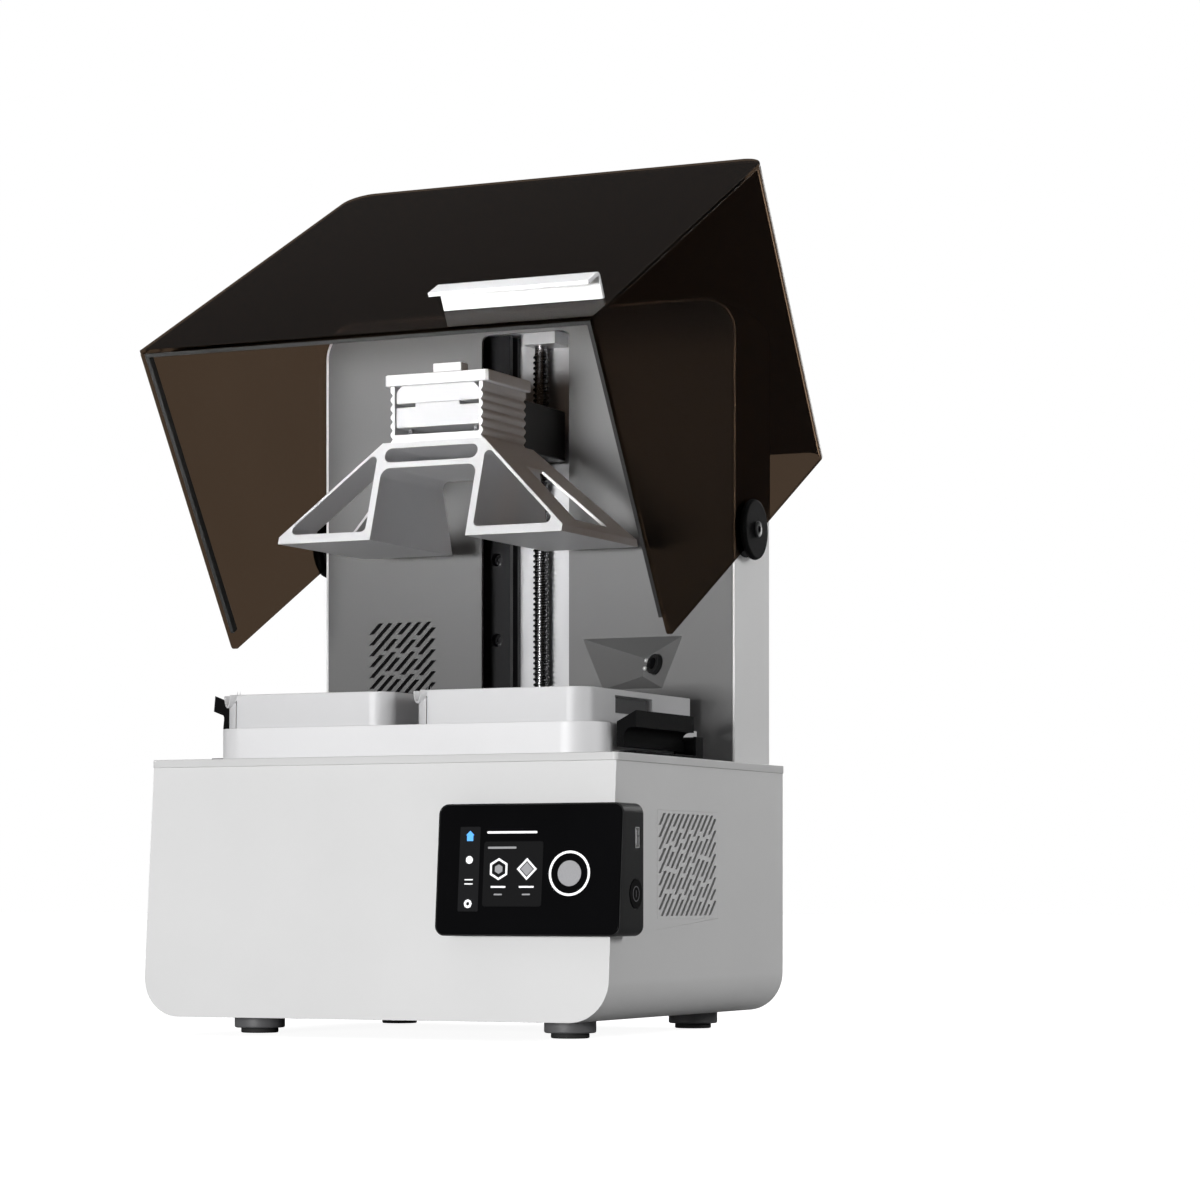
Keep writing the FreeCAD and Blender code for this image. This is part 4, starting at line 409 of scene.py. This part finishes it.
def makeThread(turns):  # the outline of one turn, wound round Z
    clearSelection()
    bpy.ops.mesh.primitive_plane_add(size=screwLook["root"], location=(0, 0, 0))
    thread = newest("lead_screw_thread")
    editMesh(thread)
    bpy.ops.mesh.select_all(action="SELECT")
    bpy.ops.mesh.merge(type="COLLAPSE")
    bpy.ops.transform.translate(value=(screwLook["root"], 0, 0))
    rise = screwLook["crest"] - screwLook["root"]
    flank = screwLook["flank"]
    land = screwLook["land"]
    valley = screwLook["pitch"] - 2 * flank - land
    for step in ((rise, 0, flank), (0, 0, land), (-rise, 0, flank), (0, 0, valley)):
        bpy.ops.mesh.extrude_region_move(TRANSFORM_OT_translate={"value": step})
    leaveEdit()
    wind = thread.modifiers.new("wind", "SCREW")
    wind.axis = "Z"
    wind.screw_offset = screwLook["pitch"]
    wind.iterations = turns
    wind.steps = screwLook["steps"]
    wind.render_steps = screwLook["steps"]
    wind.use_merge_vertices = True
    wind.merge_threshold = screwLook["join"]
    pickUp(thread)
    bpy.ops.object.modifier_apply(modifier=wind.name)
    editMesh(thread)
    bpy.ops.mesh.select_all(action="SELECT")
    bpy.ops.mesh.remove_doubles(threshold=screwLook["join"])
    bpy.ops.mesh.fill_holes(sides=0)
    bpy.ops.mesh.select_all(action="SELECT")
    bpy.ops.mesh.normals_make_consistent(inside=False)
    leaveEdit()
    return thread


def makeLeadScrew():
    low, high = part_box("lead_screw")
    middle = (low + high) / 2
    threadTop = high.z - screwLook["bare"]
    thread = makeThread(int((threadTop - low.z) / screwLook["pitch"]) - 1)
    place(thread, Matrix.Translation((middle.x, middle.y, low.z)))
    smoothBelow(screwLook["smooth"])
    finishPiece(thread, paint["darkThread"], "screw")
    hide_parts("lead_screw")
    # plain end that turns in the bearing
    endLow = threadTop - screwLook["endSunk"]
    bpy.ops.mesh.primitive_cylinder_add(vertices=screwLook["endSides"], radius=screwLook["endRadius"],
                                        depth=high.z - endLow,
                                        location=(middle.x, middle.y, (high.z + endLow) / 2))
    end = newest("lead_screw_end")
    place(end, Matrix())
    softEdges(end, screwLook["endEdge"])
    finishPiece(end, paint["boltSteel"], "screw")


makeLeadScrew()
print("lead screw threaded")


# bolts: a round head with a hexagon in it

boltForm = {"sides": 24, "socketSides": 6, "edgeShare": 0.14}


def makeBolt(name, look):  # stands on Z 0 at the origin
    clearSelection()
    bpy.ops.mesh.primitive_cylinder_add(vertices=boltForm["sides"], radius=look["radius"],
                                        depth=look["tall"], location=(0, 0, look["tall"] / 2))
    head = newest(name)
    place(head, Matrix())
    softEdges(head, look["radius"] * boltForm["edgeShare"])
    bpy.ops.mesh.primitive_cylinder_add(vertices=boltForm["socketSides"], radius=look["socket"],
                                        depth=look["deep"] * 2, location=(0, 0, look["tall"]))
    tool = newest(name + "_socket")
    hollow = head.modifiers.new("socket", "BOOLEAN")
    hollow.object = tool
    hollow.operation = "DIFFERENCE"
    hollow.solver = "EXACT"
    pickUp(head)
    bpy.ops.object.modifier_apply(modifier=hollow.name)
    bpy.data.objects.remove(tool)
    return head


def setBolts(name, look, spots, body):  # one is modelled, the rest are copies of it
    first = makeBolt(name + "_1", look)
    bolts = [first]
    for number in range(2, len(spots) + 1):
        bolts.append(copyOf(first, "%s_%d" % (name, number)))
    for bolt, (centre, normal) in zip(bolts, spots):
        place(bolt, standOn(Vector(centre), normal))
        finishPiece(bolt, paint["boltBlack"], body)


railBolts = {"radius": 0.0041, "tall": 0.0042, "socket": 0.0024, "deep": 0.0022,
             "x": -0.033, "seat": 0.1088, "first": 0.228, "pitch": 0.060, "count": 5}
railSpots = []
for number in range(railBolts["count"]):
    up = railBolts["first"] + railBolts["pitch"] * number
    railSpots.append(((railBolts["x"], railBolts["seat"], up), front))
setBolts("rail_bolt", railBolts, railSpots, "stand")

rearBolts = {"radius": 0.0030, "tall": 0.0018, "socket": 0.0015, "deep": 0.0010,
             "aside": 0.012, "above": 0.02, "below": 0.010}
rearLow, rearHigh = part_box("rear_panel")
rearSpots = []
for x in (rearLow.x + rearBolts["aside"], 0.0, rearHigh.x - rearBolts["aside"]):
    for z in (rearLow.z + rearBolts["above"], rearHigh.z - rearBolts["below"]):
        rearSpots.append(((x, rearHigh.y, z), rear))
setBolts("rear_bolt", rearBolts, rearSpots, "stand")

capBolts = {"radius": 0.0060, "tall": 0.0016, "socket": 0.0030, "deep": 0.0011}
capLow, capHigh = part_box("hinge_caps")
capMiddle = (capLow + capHigh) / 2
capSpots = [((side * capHigh.x, capMiddle.y, capMiddle.z), side * right) for side in (-1, 1)]
setBolts("hinge_bolt", capBolts, capSpots, "hood")

columnBolts = {"aside": 0.014, "heights": (0.014, 0.120)}  # same bolt as on the rear panel
columnLow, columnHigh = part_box("column_shell")
columnSpots = []
for side in (-1, 1):
    for up in columnBolts["heights"]:
        spot = (side * (columnHigh.x - columnBolts["aside"]), columnHigh.y, columnLow.z + up)
        columnSpots.append((spot, rear))
setBolts("column_bolt", rearBolts, columnSpots, "stand")
print("bolts set")


# small blocks: pins, tongue, black plates behind the vents that paint the shade seen through them, and dark
# plates that paint the shade in the finger recesses


def makeBlock(name, low, high, edge, finish, slotName):  # between two corners in millimetres
    clearSelection()
    lowCorner = Vector(low) / millimetres
    highCorner = Vector(high) / millimetres
    bpy.ops.mesh.primitive_cube_add(size=1.0, location=(lowCorner + highCorner) / 2)
    block = newest(name)
    block.scale = highCorner - lowCorner
    place(block, Matrix())
    softEdges(block, edge)
    finishPiece(block, paint[finish], "stand")


inletPins = {"low": 131.5, "tip": 144.0, "half": (1.0, 2.0), "edge": 0.0006,
             "spots": ((110.0, 63.5), (103.0, 57.0), (117.0, 57.0))}
halfX, halfZ = inletPins["half"]
for number, (x, z) in enumerate(inletPins["spots"], start=1):
    makeBlock("inlet_pin_%d" % number, (x - halfX, inletPins["low"], z - halfZ),
              (x + halfX, inletPins["tip"], z + halfZ), inletPins["edge"], "socketPlate", "socket_metal")

socketTongue = {"low": (183.6, -146.7, 130.0), "high": (193.3, -144.7, 140.4), "edge": 0.0003}
makeBlock("socket_tongue", **socketTongue, finish="socketPlate", slotName="socket_metal")

# black plates just behind the column and side vent slots, so the slots read dark: painted shade
ventShadePlates = {
    "column_vent_shade": {"low": (-136.0, 83.9, 243.0), "high": (-69.0, 86.4, 307.0), "edge": 0.0006},
    "side_vent_shade": {"low": (173.6, -84.0, 77.0), "high": (176.4, 28.0, 159.0), "edge": 0.0006},
}
for name, look in ventShadePlates.items():
    makeBlock(name, **look, finish="blackGrainAndShade", slotName="black_part")

# dark plates laid in the finger recesses of the tray walls: painted shade for the recesses
recessShadePlate = {"inner": 137.3, "outer": 138.0, "front": -66.6, "rear": -6.0, "low": 222.6, "high": 233.4,
           "edge": 0.0002, "mirror": -3.4}  # the left one is the right one mirrored about half of this
for name, sides in (("grip_shade_right", (recessShadePlate["inner"], recessShadePlate["outer"])),
                    ("grip_shade_left", (recessShadePlate["mirror"] - recessShadePlate["outer"],
                                       recessShadePlate["mirror"] - recessShadePlate["inner"]))):
    makeBlock(name, (sides[0], recessShadePlate["front"], recessShadePlate["low"]),
              (sides[1], recessShadePlate["rear"], recessShadePlate["high"]), recessShadePlate["edge"], "gripShadeGrey", "soft_black")
print("small blocks made")


# display: plain plates and signs on the glass

displayLook = {"lift": 0.00012, "thick": 0.00018, "lean": 1.004, "cornerSteps": 4}
glassCentre, glassNormal = flatFace("display_glass", front)
glassPlane = standOn(glassCentre, glassNormal)
screenInk = {
    "bar": glowing("screenBar", (0.012, 0.012, 0.013), 0.3),
    "tile": glowing("screenTile", (0.009, 0.009, 0.0095), 0.3),
    "white": glowing("screenWhite", (0.75, 0.75, 0.76), 0.8),
    "grey": glowing("screenGrey", (0.28, 0.28, 0.29), 0.6),
    "blue": glowing("screenBlue", (0.10, 0.36, 0.85), 0.9),
}


def thicken(thick):  # in edit mode, a flat outline becomes a closed plate
    bpy.ops.mesh.select_all(action="SELECT")
    bpy.ops.mesh.extrude_region_move(TRANSFORM_OT_translate={"value": (0, 0, thick)})
    bpy.ops.mesh.select_all(action="SELECT")
    bpy.ops.mesh.normals_make_consistent(inside=False)


def makePlate(name, size, corner, thick, sides=4, turn=0.0):  # stands on Z 0 at the origin
    clearSelection()
    if sides == 4:
        bpy.ops.mesh.primitive_plane_add(size=1.0, location=(0, 0, 0))
    else:
        bpy.ops.mesh.primitive_circle_add(vertices=sides, radius=0.5, fill_type="NGON", location=(0, 0, 0))
    plate = newest(name)
    plate.scale = (size[0], size[1], 1)
    plate.rotation_euler = (0, 0, math.radians(turn))
    place(plate, Matrix())
    editMesh(plate)
    if corner:
        bpy.ops.mesh.select_all(action="SELECT")
        bpy.ops.mesh.bevel(offset=corner, segments=displayLook["cornerSteps"], affect="VERTICES")
    thicken(thick)
    leaveEdit()
    return plate


def makeRing(name, outer, inner, thick, sides):  # stands on Z 0 at the origin
    clearSelection()
    bpy.ops.mesh.primitive_circle_add(vertices=sides, radius=outer, fill_type="NGON", location=(0, 0, 0))
    ring = newest(name)
    editMesh(ring)
    bpy.ops.mesh.select_all(action="SELECT")
    bpy.ops.mesh.inset(thickness=outer - inner)
    bpy.ops.mesh.delete(type="FACE")
    thicken(thick)
    leaveEdit()
    return ring


def putOnScreen(piece, at, layer, ink):  # at is X and Z of the object in millimetres
    aside = at[0] / millimetres - glassCentre.x
    up = (at[1] / millimetres - glassCentre.z) * displayLook["lean"]
    place(piece, glassPlane @ Matrix.Translation((aside, up, displayLook["lift"] * layer)))
    finishPiece(piece, screenInk[ink], "stand")


def screenPlate(name, at, size, ink, corner=0.0, sides=4, turn=0.0, layer=1):
    putOnScreen(makePlate(name, size, corner, displayLook["thick"], sides, turn), at, layer, ink)


def ringSign(name, at, outer, inner, ink, sides=32, layer=1):
    putOnScreen(makeRing(name, outer, inner, displayLook["thick"], sides), at, layer, ink)


screenPlates = {
    "screen_side_bar": {"at": (81.9, 114.5), "size": (0.0150, 0.0565), "corner": 0.0008,
                        "ink": "bar", "layer": 0},
    "screen_tile": {"at": (114.4, 111.2), "size": (0.0436, 0.0432), "corner": 0.0018,
                    "ink": "tile", "layer": 0},
    "screen_sign_home": {"at": (81.9, 135.2), "size": (0.0046, 0.0040), "ink": "blue"},
    "screen_sign_roof": {"at": (81.9, 138.0), "size": (0.0072, 0.0040), "ink": "blue", "sides": 3},
    "screen_sign_disc": {"at": (81.9, 120.6), "size": (0.0052, 0.0052), "ink": "white", "sides": 24},
    "screen_sign_slide_1": {"at": (81.9, 107.4), "size": (0.0062, 0.0008), "corner": 0.0003, "ink": "white"},
    "screen_sign_slide_2": {"at": (81.9, 104.6), "size": (0.0062, 0.0008), "corner": 0.0003, "ink": "white"},
    "screen_line_head": {"at": (113.0, 138.8), "size": (0.0370, 0.0015), "corner": 0.0007,
                         "ink": "white", "layer": 0},
    "screen_line_tile": {"at": (106.0, 128.6), "size": (0.0210, 0.0014), "corner": 0.0006, "ink": "grey"},
    "screen_gauge_disc": {"at": (156.0, 111.5), "size": (0.0170, 0.0170), "ink": "grey",
                          "sides": 40, "layer": 0},
}
for name, look in screenPlates.items():
    screenPlate(name, **look)

screenRings = {
    "screen_sign_gear": {"at": (81.9, 91.4), "outer": 0.0030, "inner": 0.0014, "ink": "white", "sides": 8},
    "screen_gauge": {"at": (156.0, 111.5), "outer": 0.0150, "inner": 0.0134, "ink": "white", "layer": 0},
}
for name, look in screenRings.items():
    ringSign(name, **look)

screenPictures = {  # a ring with a core, and two lines under it
    "columns": ({"x": 104.0, "sides": 6, "turn": 0.0}, {"x": 124.8, "sides": 4, "turn": 45.0}),
    "heights": {"ring": 114.4, "caption": 102.6, "note": 97.6},
    "outer": 0.0074, "inner": 0.0060, "core": (0.0064, 0.0064),
    "caption": {"size": (0.0110, 0.0012), "corner": 0.0005, "ink": "white"},
    "note": {"size": (0.0060, 0.0010), "corner": 0.0004, "ink": "grey"},
}
for number, column in enumerate(screenPictures["columns"], start=1):
    spots = {line: (column["x"], height) for line, height in screenPictures["heights"].items()}
    ringSign("screen_picture_%d" % number, spots["ring"], screenPictures["outer"], screenPictures["inner"],
             "white", sides=column["sides"])
    screenPlate("screen_picture_core_%d" % number, spots["ring"], screenPictures["core"], "grey",
                sides=column["sides"], turn=column["turn"])
    screenPlate("screen_caption_%d" % number, spots["caption"], **screenPictures["caption"])
    screenPlate("screen_note_%d" % number, spots["note"], **screenPictures["note"])
print("display signs made")


# power button: a ring and a bar laid on its face

buttonSign = {"outer": 0.0052, "inner": 0.0045, "sides": 40, "thick": 0.00012,
              "bar": (0.0008, 0.0046), "corner": 0.0003}
buttonPlane = standOn(*flatFace("power_button", right))
buttonRing = makeRing("button_ring", buttonSign["outer"], buttonSign["inner"], buttonSign["thick"],
                      buttonSign["sides"])
buttonBar = makePlate("button_bar", buttonSign["bar"], buttonSign["corner"], buttonSign["thick"])
for sign in (buttonRing, buttonBar):
    place(sign, buttonPlane)
    finishPiece(sign, paint["footGrey"], "button")
print("button sign made")


# camera: barrel, glass and two small lamps in the pocket

barrelLook = {"radius": 0.0074, "sides": 40, "deep": 0.004, "middle": -0.0012, "frontFace": 0.9,
              "rim": 0.0012, "collar": 0.0008, "lip": 0.0010, "hollow": 0.0012, "edge": 0.0002}
glassLook = {"radius": 0.0042, "segments": 32, "rings": 16, "flatten": 0.35, "cut": -0.0004, "lift": 0.0009}
lampDome = {"radius": 0.0017, "segments": 24, "rings": 12, "cut": -0.0003, "aside": -0.0098, "apart": 0.0030}
domeSmooth = 50  # degrees
lensPlane = standOn(*flatFace("camera_lens", Vector((-0.7, -0.7, 0))))


def makeBarrel():
    clearSelection()
    bpy.ops.mesh.primitive_cylinder_add(vertices=barrelLook["sides"], radius=barrelLook["radius"],
                                        depth=barrelLook["deep"], location=(0, 0, barrelLook["middle"]))
    barrel = newest("camera_barrel")
    place(barrel, Matrix())
    editMesh(barrel)
    chooseFaces(barrel, lambda normal: normal.z > barrelLook["frontFace"])
    steps = ((barrelLook["rim"], barrelLook["collar"]), (barrelLook["lip"], -barrelLook["hollow"]))
    for inset, rise in steps:
        bpy.ops.mesh.inset(thickness=inset)
        bpy.ops.mesh.extrude_region_move(TRANSFORM_OT_translate={"value": (0, 0, rise)})
    leaveEdit()
    softEdges(barrel, barrelLook["edge"])
    place(barrel, lensPlane)
    finishPiece(barrel, paint["caseBlack"], "stand")
    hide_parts("camera_lens")


def makeDome(name, look, flatten=1.0):  # the top of a ball at the origin
    clearSelection()
    bpy.ops.mesh.primitive_uv_sphere_add(segments=look["segments"], ring_count=look["rings"],
                                         radius=look["radius"], location=(0, 0, 0))
    dome = newest(name)
    dome.scale = (1, 1, flatten)
    place(dome, Matrix())
    editMesh(dome)
    bpy.ops.mesh.select_all(action="SELECT")
    bpy.ops.mesh.bisect(plane_co=(0, 0, look["cut"]), plane_no=(0, 0, 1), clear_inner=True, use_fill=True)
    leaveEdit()
    smoothBelow(domeSmooth)
    return dome


makeBarrel()
lensGlass = makeDome("camera_glass", glassLook, glassLook["flatten"])
place(lensGlass, lensPlane @ Matrix.Translation((0, 0, glassLook["lift"])))
finishPiece(lensGlass, paint["blackGlass"], "stand")

firstLamp = makeDome("camera_lamp_1", lampDome)
secondLamp = copyOf(firstLamp, "camera_lamp_2")
for lamp, side in ((firstLamp, 1), (secondLamp, -1)):
    place(lamp, lensPlane @ Matrix.Translation((lampDome["aside"], side * lampDome["apart"], 0)))
    finishPiece(lamp, paint["socketPlate"], "stand")
print("camera made")


# stage: floor, world, lamps and camera

white = (1, 1, 1, 1)
stageLook = {
    "floor": (0.40, 0.40, 0.40), "seen": (0.62, 0.62, 0.62), "lift": 0.92, "floorSize": 30.0,
    "floorDrop": 0.0003, "white": 1.0, "ambient": 0.24, "rightShare": 0.25, "fade": (-0.1, 0.7),
}


def whiteRays(tree, dull, bright):  # bright for what is seen straight or through the clear plastic
    path = addNode(tree, "ShaderNodeLightPath")
    either = addNode(tree, "ShaderNodeMath", operation="MAXIMUM")
    mix = addNode(tree, "ShaderNodeMixShader")
    tree.links.new(path.outputs["Is Camera Ray"], either.inputs[0])
    tree.links.new(path.outputs["Is Transmission Ray"], either.inputs[1])
    tree.links.new(either.outputs["Value"], mix.inputs["Fac"])
    tree.links.new(dull, mix.inputs[1])
    tree.links.new(bright, mix.inputs[2])
    return mix.outputs["Shader"]


def makeFloor():
    clearSelection()
    bpy.ops.mesh.primitive_plane_add(size=stageLook["floorSize"], location=(0, 0, -stageLook["floorDrop"]))
    floor = newest("studio_floor")
    material, tree, shader = newMaterial("studioFloor")
    tree.nodes.remove(shader)
    output = tree.nodes["Material Output"]
    matt = addNode(tree, "ShaderNodeBsdfDiffuse", Color=(*stageLook["floor"], 1.0))
    seen = addNode(tree, "ShaderNodeBsdfDiffuse", Color=(*stageLook["seen"], 1.0))
    glow = addNode(tree, "ShaderNodeEmission", Color=white, Strength=stageLook["lift"])
    both = addNode(tree, "ShaderNodeAddShader")
    tree.links.new(seen.outputs["BSDF"], both.inputs[0])
    tree.links.new(glow.outputs["Emission"], both.inputs[1])
    tree.links.new(whiteRays(tree, matt.outputs["BSDF"], both.outputs["Shader"]), output.inputs["Surface"])
    floor.data.materials.append(material)


def makeWorld():  # white to look at, and a soft light that is dimmer from the right
    world = bpy.data.worlds.new("studio")
    bpy.context.scene.world = world
    world.use_nodes = True
    tree = world.node_tree
    where = addNode(tree, "ShaderNodeTexCoord")
    axes = addNode(tree, "ShaderNodeSeparateXYZ")
    tree.links.new(where.outputs["Generated"], axes.inputs["Vector"])
    plain = tree.nodes["Background"]
    bright = addNode(tree, "ShaderNodeBackground", Color=white, Strength=stageLook["white"])
    plain.inputs["Color"].default_value = white
    fade = addNode(tree, "ShaderNodeMapRange", interpolation_type="SMOOTHSTEP")
    fade.inputs["From Min"].default_value, fade.inputs["From Max"].default_value = stageLook["fade"]
    fade.inputs["To Min"].default_value = stageLook["ambient"]
    fade.inputs["To Max"].default_value = stageLook["ambient"] * stageLook["rightShare"]
    tree.links.new(axes.outputs["X"], fade.inputs["Value"])
    tree.links.new(fade.outputs["Result"], plain.inputs["Strength"])
    mixed = whiteRays(tree, plain.outputs["Background"], bright.outputs["Background"])
    tree.links.new(mixed, tree.nodes["World Output"].inputs["Surface"])


openSpread = 180.0  # degrees
lampLooks = {
    "keyLamp": {"at": (-0.10, -3.0, 0.15), "aim": (0, 0, 0.36), "size": (0.8, 0.24), "power": 58.0},
    "hoodLamp": {"at": (-0.05, -1.3, 0.22), "aim": (-0.05, 0.08, 0.58), "size": (0.5, 0.12),
                 "power": 0.7, "spread": 30.0},
    "fillLamp": {"at": (2.5, 0.5, 0.95), "aim": (0, 0, 0.20), "size": (1.0, 0.8), "power": 20.0},
    "rearLamp": {"at": (0.3, 2.9, 0.9), "aim": (0, 0, 0.25), "size": (1.2, 0.8), "power": 16.0},
    "topLamp": {"at": (-0.2, 0.6, 2.6), "aim": (0, 0, 0.30), "size": (2.0, 2.0), "power": 20.0},
}


def makeLamps():
    for name, look in lampLooks.items():
        at = Vector(look["at"])
        turn = (at - Vector(look["aim"])).to_track_quat("Z", "Y").to_euler()
        bpy.ops.object.light_add(type="AREA", location=at, rotation=turn)
        lamp = bpy.context.object
        lamp.name = name
        lamp.data.shape = "RECTANGLE"
        lamp.data.size, lamp.data.size_y = look["size"]
        lamp.data.energy = look["power"]
        lamp.data.spread = math.radians(look.get("spread", openSpread))


cameraPlace = {"at": (1.1666, -2.2887, 0.09655), "level": 90.0, "turn": 25.01, "lens": 107.16,
               "shift": 0.2467, "sensor": 36.0, "reach": 60.0}


def makeCamera():
    turn = (math.radians(cameraPlace["level"]), 0, math.radians(cameraPlace["turn"]))
    bpy.ops.object.camera_add(location=cameraPlace["at"], rotation=turn)
    camera = bpy.context.object
    camera.name = "photo_camera"
    camera.data.sensor_width = cameraPlace["sensor"]
    camera.data.lens = cameraPlace["lens"]
    camera.data.shift_y = cameraPlace["shift"]
    camera.data.clip_end = cameraPlace["reach"]
    bpy.context.scene.camera = camera


makeFloor()
makeWorld()
makeLamps()
makeCamera()
bpy.context.scene.view_settings.view_transform = "Standard"
print("stage set")
